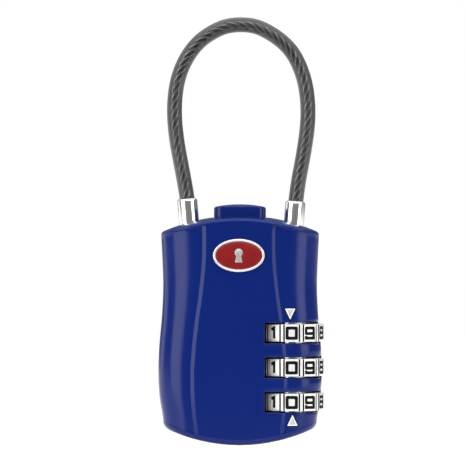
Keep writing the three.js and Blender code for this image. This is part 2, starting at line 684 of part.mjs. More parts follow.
function fixedFerruleSolid() {
  const high = -CLIP_DEPTH + CLIP_SLOT_HALF_HEIGHT;
  const low = -CLIP_DEPTH - CLIP_SLOT_HALF_HEIGHT;
  return ferruleSolid([
    [0, FIXED_FOOT], [FERRULE_RADIUS, FIXED_FOOT], [FERRULE_RADIUS, low], [NECK_RADIUS, low],
    [NECK_RADIUS, high], [FERRULE_RADIUS, high],
  ], FIXED.out);
}

// A flat plate with a round-ended slot that grips the fixed ferrule's groove.
function clipSolid() {
  const half = CLIP_THICKNESS / 2;
  const slot = NECK_RADIUS + CLEARANCE;
  const wide = CLIP_HALF_WIDTH;
  const plate = box(-wide, wide, -wide, wide, -CLIP_DEPTH - half, -CLIP_DEPTH + half);
  const mouth = box(-slot, slot, 0, 4, -CLIP_DEPTH - 1, -CLIP_DEPTH + 1);
  return cut(plate, [rod(slot, 0, 0, -CLIP_DEPTH - 1, -CLIP_DEPTH + 1, 24), mouth]);
}

// ---- Cable --------------------------------------------------------------------------------------

const cableLine = new THREE.CatmullRomCurve3(
  CABLE_ROUTE.map(([x, z]) => new THREE.Vector3(x, 0, z)), false, 'centripetal',
);

// A stretch of the cable's middle line, between two shares of its length.
class CableStretch extends THREE.Curve {
  constructor(start, end) {
    super();
    this.start = start;
    this.end = end;
  }

  getPoint(t, target = new THREE.Vector3()) {
    return cableLine.getPointAt(this.start + (this.end - this.start) * t, target);
  }
}

function tube(radius, bore, stretch, sides, steps) {
  const section = new THREE.Shape();
  section.absarc(0, 0, radius, 0, Math.PI * 2);
  if (bore) {
    const hole = new THREE.Path();
    hole.absarc(0, 0, bore, 0, Math.PI * 2, true);
    section.holes.push(hole);
  }
  return new THREE.ExtrudeGeometry(section, {
    steps, curveSegments: sides / 2, bevelEnabled: false, extrudePath: stretch,
  });
}

// The share of the cable's length at which it passes a height, on the way up or on the way down.
function shareAtHeight(height, rising) {
  let low = rising ? 0 : 0.5;
  let high = rising ? 0.5 : 1;
  for (let i = 0; i < 30; i += 1) {
    const middle = (low + high) / 2;
    const below = cableLine.getPointAt(middle).z < height;
    if (below === rising) low = middle;
    else high = middle;
  }
  return low;
}

const jacketStart = shareAtHeight(FREE.z + FREE.out + CLEARANCE, true);
const jacketEnd = shareAtHeight(FIXED.z + FIXED.out + CLEARANCE, false);

// ---- Key cylinder and link ----------------------------------------------------------------------

function barrelSolid() {
  const bore = rod(BARREL_BORE, KEY_X, 0, -1, BARREL_HIGH + 1, 28);
  return rod(BARREL_RADIUS, KEY_X, 0, BARREL_LOW, BARREL_HIGH).subtract(bore);
}

function plugSolid() {
  const { halfWidth, halfDepth, end } = KEYWAY;
  const keyway = box(
    KEY_X - halfWidth, KEY_X + halfWidth, -halfDepth, halfDepth, -1, BARREL_HIGH - end,
  );
  const chambers = WAFER_Z.map((z) => box(
    KEY_X - CHAMBER.halfWidth, KEY_X + CHAMBER.halfWidth, -PLUG_RADIUS - 1, PLUG_RADIUS + 1,
    z - CHAMBER.halfHeight, z + CHAMBER.halfHeight,
  ));
  return cut(rod(PLUG_RADIUS, KEY_X, 0, BARREL_LOW + 0.1, BARREL_HIGH, 28), [keyway, ...chambers]);
}

function waferSolid(z) {
  const { halfWidth, halfDepth, halfHeight, window } = WAFER;
  const plate = box(
    KEY_X - halfWidth, KEY_X + halfWidth, -halfDepth, halfDepth, z - halfHeight, z + halfHeight,
  );
  const hole = box(
    KEY_X - KEYWAY.halfWidth, KEY_X + KEYWAY.halfWidth, -window, window, z - 1, z + 1,
  );
  return plate.subtract(hole);
}

function camSolid() {
  const low = BARREL_HIGH + CLEARANCE;
  const disc = rod(CAM_RADIUS, KEY_X, 0, low, low + CAM_THICKNESS, 24);
  return disc.add(rod(CRANK_PIN_RADIUS, KEY_X, CRANK_RADIUS, low + 0.7, CRANK_TOP, 16));
}

function linkSolid() {
  const piece = (room, z0, z1) => box(LINK_LEFT, room.right, room.front, LINK_BACK, z0, z1);
  const bar = piece(LINK_BAR, LINK_LOW, LINK_TOP);
  const foot = piece(LINK_FOOT, LINK_LOW, LINK_FOOT.high);
  const finger = piece(LINK_FINGER, LINK_FINGER.low, LINK_TOP);
  const { left, right, front, back } = LINK_SLOT;
  const slot = box(KEY_X - left, KEY_X + right, front, back, LINK_LOW - 1, LINK_FOOT.high + 1);
  return cut(union([bar, foot, finger]), [slot]);
}

function pinSolid([x, z]) {
  const headFront = BACK_Y - PIN_HEAD.front;
  const shank = crossRod(PIN_RADIUS, x, z, PIN_FRONT, headFront + 0.2);
  return shank.add(crossRod(PIN_HEAD_RADIUS, x, z, headFront, BACK_Y - PIN_HEAD.back));
}

// ---- Materials ----------------------------------------------------------------------------------

function finish(color, roughness, metalness) {
  return () => new THREE.MeshStandardMaterial({ color, roughness, metalness });
}

const bluePaint = finish(0x14246c, 0.4, 0.1);
const chrome = finish(0xe2e2e2, 0.15, 1);
const steel = finish(0xb4b6ba, 0.35, 1);
const springSteel = finish(0x8f9296, 0.3, 1);
const brass = finish(0xb89a56, 0.35, 1);
const zinc = finish(0x9a9da2, 0.5, 0.9);
const greyVinyl = finish(0x626262, 0.35, 0);
const redEnamel = finish(0xa01818, 0.2, 0);
const whitePaint = finish(0xf0f0ee, 0.4, 0);

// ---- Assembly -----------------------------------------------------------------------------------

const padlock = new THREE.Group();
padlock.position.z = -LOOP_CROWN;

// Turns a geometry's faces outward when the path it was drawn along left them inward.
function facingOut(geometry) {
  const solid = toSolid(geometry);
  if (solid.volume() > 0) return toGeometry(solid);
  const flipped = mergeVertices(geometry.clone().deleteAttribute('normal').deleteAttribute('uv'), 1e-4);
  flipped.index.array.reverse();
  flipped.computeVertexNormals();
  return flipped;
}

function add(name, shape, material, parent = padlock) {
  const geometry = shape.isBufferGeometry ? facingOut(shape) : toGeometry(shape);
  const mesh = new THREE.Mesh(geometry, material());
  mesh.name = name;
  parent.add(mesh);
  return mesh;
}

// A group whose Z axis is a ferrule's axis, with its zero at the case's mouth.
function ferruleGroup(ferrule) {
  const group = new THREE.Group();
  group.position.set(ferrule.x, 0, ferrule.z);
  group.rotation.y = ferrule.lean;
  padlock.add(group);
  return group;
}

// Everything that turns about the dials' axis.
const dialGroup = new THREE.Group();
dialGroup.position.set(DIAL_X, DIAL_Y, 0);
padlock.add(dialGroup);

add('front_case', frontCase, bluePaint);
add('rear_case', rearCase, bluePaint);
CASE_PINS.forEach((place, i) => add(`case_pin_${i + 1}`, pinSolid(place), zinc));

add('push_button', buttonSolid(), bluePaint);
add('release_slider', sliderSolid(), steel);
const { low: springLow, high: springHigh } = BUTTON_SPRING;
const buttonCoil = coilSpring(BUTTON_SPRING, springLow, springHigh);
const buttonSpring = add('button_spring', buttonCoil, springSteel);
buttonSpring.position.set(BUTTON_SPRING_X, BUTTON_SPRING_Y, 0);
add('latch_bolt', latchSolid(), steel);
const latchCoil = coilSpring(LATCH_SPRING, 0, LATCH_SPRING.length);
const latchSpring = add('latch_spring', latchCoil, springSteel);
latchSpring.rotation.y = Math.PI / 2;
latchSpring.position.set(LATCH_END_X + CLEARANCE, 0, (LATCH_LOW + LATCH_HIGH) / 2);

const freeGroup = ferruleGroup(FREE);
add('free_ferrule', freeFerruleSolid(), chrome, freeGroup);
const fixedGroup = ferruleGroup(FIXED);
add('fixed_ferrule', fixedFerruleSolid(), chrome, fixedGroup);
add('ferrule_clip', clipSolid(), steel, fixedGroup);
add('cable_core', tube(CORE_RADIUS, 0, new CableStretch(0, 1), 8, 36), steel);
const jacketStretch = new CableStretch(jacketStart, jacketEnd);
add('cable_jacket', tube(JACKET_RADIUS, JACKET_BORE, jacketStretch, 8, 36), greyVinyl);

DIAL_Z.forEach((z, i) => {
  add(`dial_${i + 1}`, dialGeometry(), chrome, dialGroup).position.z = z;
  add(`clutch_sleeve_${i + 1}`, sleeveSolid(), brass, dialGroup).position.z = z;
});
add('dial_spindle', spindleSolid(), steel, dialGroup);
const spindleCoil = coilSpring(SPINDLE_SPRING, WEB_HIGH + 0.2, SPINDLE_SPRING.high);
add('spindle_spring', spindleCoil, springSteel, dialGroup);
add('reset_pin', turned(RESET_PIN), steel, dialGroup);
add('detent_spring', detentSolid(), springSteel);

add('key_barrel', barrelSolid(), brass);
add('key_plug', plugSolid(), brass);
WAFER_Z.forEach((z, i) => add(`key_wafer_${i + 1}`, waferSolid(z), brass));
add('key_cam', camSolid(), steel);
add('key_link', linkSolid(), steel);

add('badge_plate', badgePlateSolid(), chrome);
add('badge_enamel', badgeEnamelSolid(), redEnamel);
INDEX_MARKS.forEach((mark) => add(mark.name, indexTriangle(mark, 0, 0, INDEX_THICKNESS), whitePaint));

export default padlock;
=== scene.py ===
"""Looks for the luggage combination padlock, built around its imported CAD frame.

Shapes are worked out in millimetres in the case's own frame, whose zero is the lowest point of the
case, and placed in the row frame in metres by place(). +X is right, +Y is the back and +Z is up.
"""

import json
import math

import bmesh
import bpy
import numpy as np
from mathutils import Matrix, Vector
from mathutils.bvhtree import BVHTree


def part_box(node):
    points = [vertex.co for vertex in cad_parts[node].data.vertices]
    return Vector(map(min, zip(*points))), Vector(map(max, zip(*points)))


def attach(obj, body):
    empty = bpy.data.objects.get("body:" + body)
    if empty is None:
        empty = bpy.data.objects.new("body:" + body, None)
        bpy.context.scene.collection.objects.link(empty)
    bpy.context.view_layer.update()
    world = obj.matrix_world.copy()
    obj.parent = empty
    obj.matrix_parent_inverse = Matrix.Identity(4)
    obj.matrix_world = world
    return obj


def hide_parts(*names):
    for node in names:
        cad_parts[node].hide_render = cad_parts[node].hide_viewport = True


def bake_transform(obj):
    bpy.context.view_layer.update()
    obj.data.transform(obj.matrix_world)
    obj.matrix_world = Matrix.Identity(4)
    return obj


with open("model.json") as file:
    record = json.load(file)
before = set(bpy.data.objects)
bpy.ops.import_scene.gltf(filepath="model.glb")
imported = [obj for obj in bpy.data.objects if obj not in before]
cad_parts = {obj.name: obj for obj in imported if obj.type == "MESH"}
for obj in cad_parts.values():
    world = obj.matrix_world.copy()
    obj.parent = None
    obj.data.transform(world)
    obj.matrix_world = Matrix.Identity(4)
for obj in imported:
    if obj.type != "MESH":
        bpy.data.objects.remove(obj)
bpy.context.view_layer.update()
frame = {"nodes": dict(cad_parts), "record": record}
MM = 0.001
CASE_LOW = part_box("front_case")[0].z

# ---- Driving dimensions, in millimetres ---------------------------------------------------------

# Case
CASE_TOP = 45.94
TOP_RADIUS = 38.6
BOTTOM_RADIUS = 33.6
FRONT_Y = -6.9
BACK_Y = 6.9
SEAM_Y = 2.2
SEAM_GAP = 0.16
SIDE_FRONT_Y = -0.5
SIDE_BACK_Y = 2.5
BACK_ROUND = 4.4
CREASE_STEP = 0.39
CREASE_WIDTH = 0.84
CREASE_EASE = ((0, 0), (0.04, 0.01), (0.1, 0.06), (0.5, 0.5), (0.9, 0.94), (0.96, 0.99), (1, 1))
RIM = {"round": 0.45, "side": 0.6, "crown": 0.75}
FOOT = {"round": 0.9, "side": 0.75, "crown": 0.35}
CROWN_POWER = 2.2
HOLLOW_INSET = 0.8
CASE_EDGE = 0.6
SIDE = (
    (-1, 15.0), (5.4, 15.42), (9.8, 16.1), (14.2, 16.33), (19.8, 16.14),
    (25.8, 15.6), (31.8, 15.34), (37.0, 15.5), (41.6, 15.72), (47, 15.8),
)
CREASE = (
    (-1, 7.8), (2.5, 8.05), (7.5, 8.6), (12, 8.85), (17, 8.75),
    (24.5, 8.0), (31, 7.1), (38, 6.5), (47, 6.55),
)

# Dials
DIAL_X = 10.5
DIAL_Y = -0.9
DIAL_Z = (22.55, 15.67, 8.79)
DIAL_HEIGHT = 3.5
DIAL_BODIES = ("upper_dial", "middle_dial", "lower_dial")
DIAL_RADIUS = 6.3
DIAL_FACE = 6.12
DIAL_FACE_ANGLE = 12.65
DIAL_GROOVE_ANGLE = 2.5
DIAL_CHAMFER = 0.2
DIGITS = 10
DIGIT_STROKE = 0.62
DIGIT_HALF_WIDTH = 0.92
DIGIT_HALF_HEIGHT = 1.01
DIGIT_DEPTH = 0.14
GROOVE_FLOOR = 0.34
SLOT_HEIGHT = 4.1
SLOT_LEFT_X = 5.1
SLOT_BACK_Y = 1.9
SLEEVE_BORE = 3.05
SPINDLE_BORE = 1.5
WEB_LOW = 26.1

# Push button
BUTTON_WIDTH = 10.3
BUTTON_DEPTH = 6.2
BUTTON_CORNER = 1.8
BUTTON_TOP = 48.16
BUTTON_CROWN = 24
BUTTON_EDGE = 0.42
FLANGE_LOW = 42.6
FLANGE_HIGH = 43.7
FLANGE_LIP = 0.62
FLANGE_EASE = 0.12
BUTTON_FOOT_INSET = 0.4
BUTTON_NECK = 0.6

# Ferrules: where each axis leaves the case, its lean, how far it stands out, and its bore's depth
CLEARANCE = 0.3
FERRULE_RADIUS = 2.0
NECK_RADIUS = 1.25
FREE = {"x": -10.19, "z": 44.73, "lean": -0.0873, "out": 4.55, "bore": 12.4}
FIXED = {"x": 10.77, "z": 44.47, "lean": 0.082, "out": 4.3, "bore": 7.0}
FERRULE_MOUTH = 1.62
MOUTH_DEPTH = 1.2
MOUTH_SLOPE = (0.3, 0.34)

# Cable
JACKET_RADIUS = 1.5
JACKET_BORE = 1.15
JACKET_IN = 1.0
STRANDS = 6
STRAND_RADIUS = 0.32
STRAND_HELIX = 0.77
STRAND_PITCH = 10.8
CABLE_ROUTE = (
    (-10.33, 46.4), (-10.6, 49.4), (-11.2, 53.0), (-11.8, 56.2), (-12.4, 59.4), (-12.85, 62.6),
    (-13.1, 66.0), (-13.0, 69.6), (-12.45, 73.0), (-11.35, 76.1), (-9.9, 78.6), (-8.0, 80.8),
    (-5.6, 82.5), (-2.9, 83.7), (0.1, 84.07), (3.2, 83.7), (6.0, 82.4), (8.5, 80.6),
    (10.35, 78.6), (11.75, 76.1), (12.85, 73.0), (13.45, 69.6), (13.6, 66.0), (13.35, 62.6),
    (12.9, 59.4), (12.35, 56.2), (11.75, 53.0), (11.18, 48.9), (10.95, 45.9),
)

# Key cylinder, reset pin and case pins
KEY_X = -4.0
BARREL_RADIUS = 3.3
BARREL_BORE = 2.6
PLUG_RADIUS = 2.3
BARREL_LOW = 0.9
BARREL_HIGH = 10.2
KEYWAY = (0.9, 3.2)
KEYWAY_END = 0.8
WAFER_ROOM = (1.3, 3, 0.55)
WAFER_Z = (3.2, 4.9, 6.6, 8.3)
CASE_PINS = ((-10.4, 8.5), (-10.4, 27.0), (-0.5, 28.5), (1.9, 4.0))
RESET_LOW = 2.3
RESET_STEPS = (3.2, 3.9)
RESET_RADII = (1.2, 1.7)
RESET_SLOT = (1.8, 0.32)
RESET_SLOT_DEPTH = 0.25
PIN_RADIUS = 0.8
PIN_HEAD_RADIUS = 1.4
PIN_LEVELS = (-3.5, 6.2, 6.8)

# Badge and index marks
BADGE_Z = 37.96
BADGE_HALF_WIDTH = 5.15
BADGE_HALF_HEIGHT = 3.3
BADGE_RIM = 0.5
BADGE_BACK = -6.95
BADGE_FRONT = -7.4
BADGE_FIELD = -7.14
INDEX_MARKS = (
    {"name": "index_mark_upper", "x": 10.2, "z": 26.3, "up": -1},
    {"name": "index_mark_lower", "x": 10.65, "z": 5.25, "up": 1},
)
INDEX_HALF_WIDTH = 1.1
INDEX_HEIGHT = 2.3
INDEX_TURN = 0.25
INDEX_BORDER = 0.22
INDEX_TRIM = 0.05
INDEX_PROUD = 0.02
INDEX_BACK = 0.5
INDEX_RECESS = 0.08
INDEX_FIELD = (0.04, 0.1)

# Camera and its frame of view
VIEW_WIDTH = 93.2
VIEW_CENTRE = (-1.4, 0, 42.42)
VIEW_AZIMUTH = math.radians(2)
VIEW_DISTANCE = 900


# ---- Places and meshes --------------------------------------------------------------------------

AXIS_RADIUS = 0.01  # a turned body's ends close on rings this small


def place(points):
    """Case-frame millimetres to row-frame metres."""
    return np.asarray(points, float) * MM + np.array((0, 0, CASE_LOW))


def add_object(name, data):
    obj = bpy.data.objects.new(name, data)
    bpy.context.scene.collection.objects.link(obj)
    return obj


def new_object(name, points, faces, smooth=True):
    """A mesh object from case-frame points, with doubles merged and faces pointing out."""
    mesh = bpy.data.meshes.new(name)
    mesh.from_pydata([tuple(p) for p in place(points)], [], [tuple(f) for f in faces])
    tidy_mesh(mesh)
    if smooth:
        mesh.shade_smooth()
    return add_object(name, mesh)


def tidy_mesh(mesh, merge=1e-7):
    work = bmesh.new()
    work.from_mesh(mesh)
    bmesh.ops.remove_doubles(work, verts=work.verts, dist=merge)
    bmesh.ops.dissolve_degenerate(work, edges=work.edges, dist=merge)
    bmesh.ops.recalc_face_normals(work, faces=work.faces)
    work.to_mesh(mesh)
    work.free()
    mesh.update()


def grid_faces(rows, columns, start=0, closed=False):
    """Quads between rows of points, each row of the given number of columns."""
    last = columns if closed else columns - 1
    return [
        (start + r * columns + c, start + r * columns + (c + 1) % columns,
         start + (r + 1) * columns + (c + 1) % columns, start + (r + 1) * columns + c)
        for r in range(rows - 1) for c in range(last)
    ]


def ring_stack(name, rings, smooth=True, closed_path=False, matrix=None):
    """A closed body of rings with equal point counts, capped at the ends or joined end to start."""
    if matrix is not None:
        rings = [transformed(ring, matrix) for ring in rings]
    count = len(rings[0])
    points = np.concatenate([np.asarray(r, float) for r in rings])
    faces = grid_faces(len(rings), count, closed=True)
    if closed_path:
        top = (len(rings) - 1) * count
        faces += [(top + c, top + (c + 1) % count, (c + 1) % count, c) for c in range(count)]
    else:
        faces.append(tuple(range(count)))
        faces.append(tuple(range(len(points) - count, len(points))))
    return new_object(name, points, faces, smooth)


def circle(radius, count, x=0.0, y=0.0, z=0.0):
    angles = np.linspace(0, 2 * math.pi, count, endpoint=False)
    ring = [x + radius * np.cos(angles), y + radius * np.sin(angles), np.full(count, z)]
    return np.stack(ring, 1)


def transformed(points, matrix):
    m = np.array(matrix)
    return np.asarray(points) @ m[:3, :3].T + m[:3, 3]


def rounded_corners(path, radius, closed=False, steps=5):
    """A flat path whose corners are turned into short rounds."""
    path = [np.array(p, float) for p in path]
    count = len(path)
    curve = []
    for i, corner in enumerate(path):
        if not closed and i in (0, count - 1):
            curve.append(corner)
            continue
        before, after = path[i - 1], path[(i + 1) % count]
        reach_in = min(radius, 0.45 * np.linalg.norm(before - corner))
        reach_out = min(radius, 0.45 * np.linalg.norm(after - corner))
        start = corner + (before - corner) / np.linalg.norm(before - corner) * reach_in
        end = corner + (after - corner) / np.linalg.norm(after - corner) * reach_out
        for t in np.linspace(0, 1, steps + 1):
            curve.append((1 - t) ** 2 * start + 2 * t * (1 - t) * corner + t * t * end)
    return curve


def lathe(name, profile, round_by, sides=96, matrix=None, closed=False):
    """A body turned about Z from (radius, height) points. A closed profile makes a tube."""
    path = rounded_corners(profile, round_by, closed)
    rings = [circle(max(r, AXIS_RADIUS), sides, z=z) for r, z in path]
    return ring_stack(name, rings, closed_path=closed, matrix=matrix)


def box_object(name, low, high):
    corners = [(x, y, z) for x in (low[0], high[0]) for y in (low[1], high[1])
               for z in (low[2], high[2])]
    faces = [(0, 1, 3, 2), (4, 6, 7, 5), (0, 4, 5, 1), (2, 3, 7, 6), (0, 2, 6, 4), (1, 5, 7, 3)]
    return new_object(name, corners, faces, smooth=False)


def rod_object(name, radius, x, y, z0, z1, sides=96):
    return ring_stack(name, [circle(radius, sides, x, y, z0), circle(radius, sides, x, y, z1)])


def cross_rod(name, radius, x, z, y0, y1, sides=64):
    """A round rod along Y."""
    ring = circle(radius, sides)
    rings = [np.column_stack([x + ring[:, 0], np.full(sides, y), z + ring[:, 1]]) for y in (y0, y1)]
    return ring_stack(name, rings)


def prism(name, outline, y0, y1, matrix=None, smooth=False):
    """A flat outline in X and Z made solid from y0 to y1."""
    rings = [[(x, y, z) for x, z in outline] for y in (y0, y1)]
    return ring_stack(name, rings, smooth, matrix=matrix)


def baked(obj):
    """Applies an object's modifiers to its mesh."""
    bpy.context.view_layer.update()
    shape = obj.evaluated_get(bpy.context.evaluated_depsgraph_get())
    mesh = bpy.data.meshes.new_from_object(shape)
    old = obj.data
    obj.modifiers.clear()
    obj.data = mesh
    bpy.data.meshes.remove(old)
    return obj


def combine(obj, others, operation="DIFFERENCE", keep=False):
    """Cuts or joins other objects, one after the other, and removes them unless keep is set."""
    for other in others:
        step = obj.modifiers.new("combine", "BOOLEAN")
        step.operation = operation
        step.solver = "EXACT"
        step.object = other
        baked(obj)
    if not keep:
        for other in others:
            bpy.data.objects.remove(other)
    return obj


def joined(name, objects):
    """One object that holds the meshes of several, side by side, with their materials."""
    work = bmesh.new()
    slots = []
    for obj in objects:
        start = len(work.faces)
        work.from_mesh(obj.data)
        work.faces.ensure_lookup_table()
        for face in work.faces[start:]:
            face.material_index += len(slots)
        slots += list(obj.data.materials)
    mesh = bpy.data.meshes.new(name)
    work.to_mesh(mesh)
    work.free()
    for material in slots:
        mesh.materials.append(material)
    result = add_object(name, mesh)
    for obj in objects:
        bpy.data.objects.remove(obj)
    return result


def moved_copy(obj, name, offset):
    """A copy of an object whose mesh lies offset millimetres further on."""
    copy = add_object(name, obj.data.copy())
    copy.data.transform(Matrix.Translation(Vector(offset) * MM))
    return copy


def smooth_shading(obj, angle=32):
    obj.data.shade_smooth()
    obj.data.set_sharp_from_angle(angle=math.radians(angle))
    return obj


def bevelled(obj, width, segments=2, angle=35):
    """Small rounds on all of an object's sharp edges."""
    step = obj.modifiers.new("bevel", "BEVEL")
    step.width = width * MM
    step.segments = segments
    step.limit_method = "ANGLE"
    step.angle_limit = math.radians(angle)
    baked(obj)
    return smooth_shading(obj)


def finish_piece(obj, body, materials=(), nodes=()):
    """Gives a piece its materials, its body and the CAD nodes it stands for."""
    if materials:
        obj.data.materials.clear()
        for name in materials:
            obj.data.materials.append(MATERIALS[name])
    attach(obj, body)
    if nodes:
        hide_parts(*nodes)
    return obj


# ---- Camera -------------------------------------------------------------------------------------


def add_camera():
    data = bpy.data.cameras.new("camera")
    data.sensor_width = 36
    data.lens = data.sensor_width * VIEW_DISTANCE / VIEW_WIDTH
    data.clip_start = 0.01
    data.clip_end = 20
    camera = add_object("camera", data)
    away = np.array((math.sin(VIEW_AZIMUTH), -math.cos(VIEW_AZIMUTH), 0)) * VIEW_DISTANCE
    camera.location = place(np.array(VIEW_CENTRE) + away)
    camera.rotation_euler = (math.pi / 2, 0, VIEW_AZIMUTH)
    bpy.context.scene.camera = camera


add_camera()

# ---- Materials ----------------------------------------------------------------------------------


CLOUD_RANGE = (0.3, 0.7)  # where most of a noise texture's values lie
STAIN_TONE = 0.75
WIPE_TONE = 0.93


class Shader:
    """A material's node tree, with short names for what the materials here need."""

    def __init__(self, name):
        self.material = bpy.data.materials.new(name)
        self.material.use_nodes = True
        self.tree = self.material.node_tree
        self.principled = self.tree.nodes["Principled BSDF"]
        self.output = self.tree.nodes["Material Output"]
        self.coordinates = self.node("ShaderNodeTexCoord").outputs["Object"]

    def node(self, kind, **values):
        made = self.tree.nodes.new(kind)
        for key, value in values.items():
            setattr(made, key, value)
        return made

    def link(self, source, target):
        self.tree.links.new(source, target)

    def set(self, **values):
        for key, value in values.items():
            self.principled.inputs[key.replace("_", " ")].default_value = value

    def stretched(self, scale):
        """Object coordinates scaled along each axis, for patterns with a direction."""
        mapping = self.node("ShaderNodeMapping")
        mapping.inputs["Scale"].default_value = scale
        self.link(self.coordinates, mapping.inputs["Vector"])
        return mapping.outputs["Vector"]

    def noise(self, scale, detail=3.0, roughness=0.5, vector=None):
        made = self.node("ShaderNodeTexNoise")
        made.inputs["Scale"].default_value = scale
        made.inputs["Detail"].default_value = detail
        made.inputs["Roughness"].default_value = roughness
        self.link(vector or self.coordinates, made.inputs["Vector"])
        return made.outputs["Fac"]

    def ramp(self, source, low, high, low_value, high_value):
        """Maps source from low..high to low_value..high_value."""
        made = self.node("ShaderNodeMapRange")
        values = (low, high, low_value, high_value)
        for name, value in zip(("From Min", "From Max", "To Min", "To Max"), values):
            made.inputs[name].default_value = value
        self.link(source, made.inputs["Value"])
        return made.outputs["Result"]

    def colours(self, source, dark, light):
        made = self.node("ShaderNodeMix", data_type="RGBA")
        made.inputs["A"].default_value = (*dark, 1)
        made.inputs["B"].default_value = (*light, 1)
        self.link(source, made.inputs["Factor"])
        return made.outputs["Result"]

    def surface(self, tone, dark, light, marks, rough_low, rough_high):
        """Base colour between dark and light by tone, and roughness between two values by marks."""
        self.link(self.colours(tone, dark, light), self.principled.inputs["Base Color"])
        rough = self.ramp(marks, *CLOUD_RANGE, rough_low, rough_high)
        self.link(rough, self.principled.inputs["Roughness"])

    def bump(self, source, distance, strength=1.0):
        made = self.node("ShaderNodeBump")
        made.inputs["Strength"].default_value = strength
        made.inputs["Distance"].default_value = distance
        self.link(source, made.inputs["Height"])
        self.link(made.outputs["Normal"], self.principled.inputs["Normal"])


def case_paint(name):
    """Satin navy paint on cast zinc: faint orange peel, slight tone changes, a clear top layer."""
    s = Shader(name)
    s.surface(s.noise(60, 4), (0.0008, 0.0105, 0.112), (0.0014, 0.0125, 0.130),
              s.noise(900, 2), 0.19, 0.23)
    s.set(Specular_IOR_Level=0.25)
    s.bump(s.noise(700, 2), 0.000004, 0.4)
    return s.material


def polished(name, tint, rough_low, rough_high, metallic=1.0, scratch_scale=(400, 400, 60)):
    """Bright plated metal with faint wipe marks."""
    s = Shader(name)
    marks = s.noise(6, 5, 0.6, s.stretched(scratch_scale))
    s.surface(marks, tuple(WIPE_TONE * c for c in tint), tint, marks, rough_low, rough_high)
    s.set(Metallic=metallic)
    return s.material


def machined(name, tint, rough_low, rough_high, bump=0.000006):
    """Turned or stamped metal with fine tool marks and small stains."""
    s = Shader(name)
    lines = s.noise(10, 4, 0.6, s.stretched((120, 120, 900)))
    stained = tuple(STAIN_TONE * c for c in tint)
    s.surface(s.noise(250, 4), stained, tint, lines, rough_low, rough_high)
    s.set(Metallic=1.0)
    s.bump(lines, bump, 0.6)
    return s.material


def enamel():
    """Deep red enamel with a glassy top and small flow marks."""
    s = Shader("badge_enamel")
    s.surface(s.noise(500, 3), (0.13, 0.002, 0.003), (0.26, 0.005, 0.006),
              s.noise(700, 2), 0.16, 0.26)
    s.set(Coat_Weight=0.6, Coat_Roughness=0.06)
    s.bump(s.noise(450, 2), 0.00002, 0.4)
    return s.material


def ink_and_shade(name, dark, light, rough_low, rough_high, specular=0.5):
    """Paint laid into a recess, and near-black painted shade for the case's inside: slightly uneven
    tone and gloss.
    """
    s = Shader(name)
    s.set(Specular_IOR_Level=specular)
    s.surface(s.noise(1500, 4), dark, light, s.noise(1100, 3), rough_low, rough_high)
    s.bump(s.noise(2600, 3), 0.000008, 0.5)
    return s.material


def vinyl():
    """Smoke-grey clear vinyl: see-through in the middle, greyer where it is seen edge on."""
    s = Shader("vinyl")
    s.surface(s.noise(300, 3), (0.055, 0.055, 0.056), (0.080, 0.080, 0.081),
              s.noise(800, 3), 0.18, 0.28)
    s.bump(s.noise(700, 3), 0.00003, 0.35)
    clear = s.node("ShaderNodeBsdfTransparent")
    clear.inputs["Color"].default_value = (0.9, 0.9, 0.9, 1)
    edge = s.node("ShaderNodeLayerWeight")
    edge.inputs["Blend"].default_value = 0.35
    mix = s.node("ShaderNodeMixShader")
    s.link(s.ramp(edge.outputs["Facing"], 0.04, 0.24, 0.10, 1.0), mix.inputs["Fac"])
    s.link(clear.outputs["BSDF"], mix.inputs[1])
    s.link(s.principled.outputs["BSDF"], mix.inputs[2])
    s.link(mix.outputs["Shader"], s.output.inputs["Surface"])
    return s.material


MATERIALS = {
    "case_paint": case_paint("case_paint"),
    "button_paint": case_paint("button_paint"),
    # Near-black painted shade for the case's inner faces: slot walls, bores and pockets, dark as in
    # deep shade
    "case_inside_painted_shade": ink_and_shade("case_inside_painted_shade", (0.004, 0.004, 0.006), (0.012, 0.012, 0.018), 0.55, 0.75),
    "dial_chrome": polished("dial_chrome", (0.78, 0.78, 0.77), 0.22, 0.34, metallic=0.3),
    "ferrule_metal": polished("ferrule_metal", (0.90, 0.90, 0.90), 0.12, 0.22),
    "plated": polished("plated", (0.85, 0.85, 0.86), 0.18, 0.30),
    "steel": machined("steel", (0.52, 0.53, 0.55), 0.25, 0.42),
    "spring_steel": machined("spring_steel", (0.36, 0.37, 0.39), 0.22, 0.36),
    "wire_rope": machined("wire_rope", (0.85, 0.85, 0.86), 0.30, 0.45),
    # Near-black painted shade for the rope's heart, seen as dark gaps between the strands
    "rope_gap_shade": machined("rope_gap_shade", (0.05, 0.05, 0.05), 0.4, 0.6),
    "vinyl": vinyl(),
    "key_brass": machined("key_brass", (0.66, 0.48, 0.20), 0.22, 0.38),
    "pin_zinc": machined("pin_zinc", (0.50, 0.51, 0.53), 0.30, 0.45),
    "badge_metal": polished("badge_metal", (0.78, 0.77, 0.78), 0.14, 0.24, metallic=0.7),
    "badge_enamel": enamel(),
    "index_white": ink_and_shade("index_white", (0.80, 0.80, 0.84), (0.92, 0.92, 0.95), 0.30, 0.45),
    "index_grey": ink_and_shade("index_grey", (0.40, 0.40, 0.38), (0.50, 0.50, 0.48), 0.35, 0.5),
    "digit_black": ink_and_shade("digit_black", (0.0015, 0.0015, 0.0015), (0.006, 0.006, 0.006), 0.45, 0.6,
                       specular=0.1),
}
SLOT_OF = {s["node"]: s["material_slot"] for s in frame["record"]["subparts"]}
for node_name, node_object in frame["nodes"].items():
    plated = node_name.startswith("clutch_sleeve")
    node_object.data.materials.clear()
    node_object.data.materials.append(MATERIALS["plated" if plated else SLOT_OF[node_name]])

# ---- Case halves --------------------------------------------------------------------------------


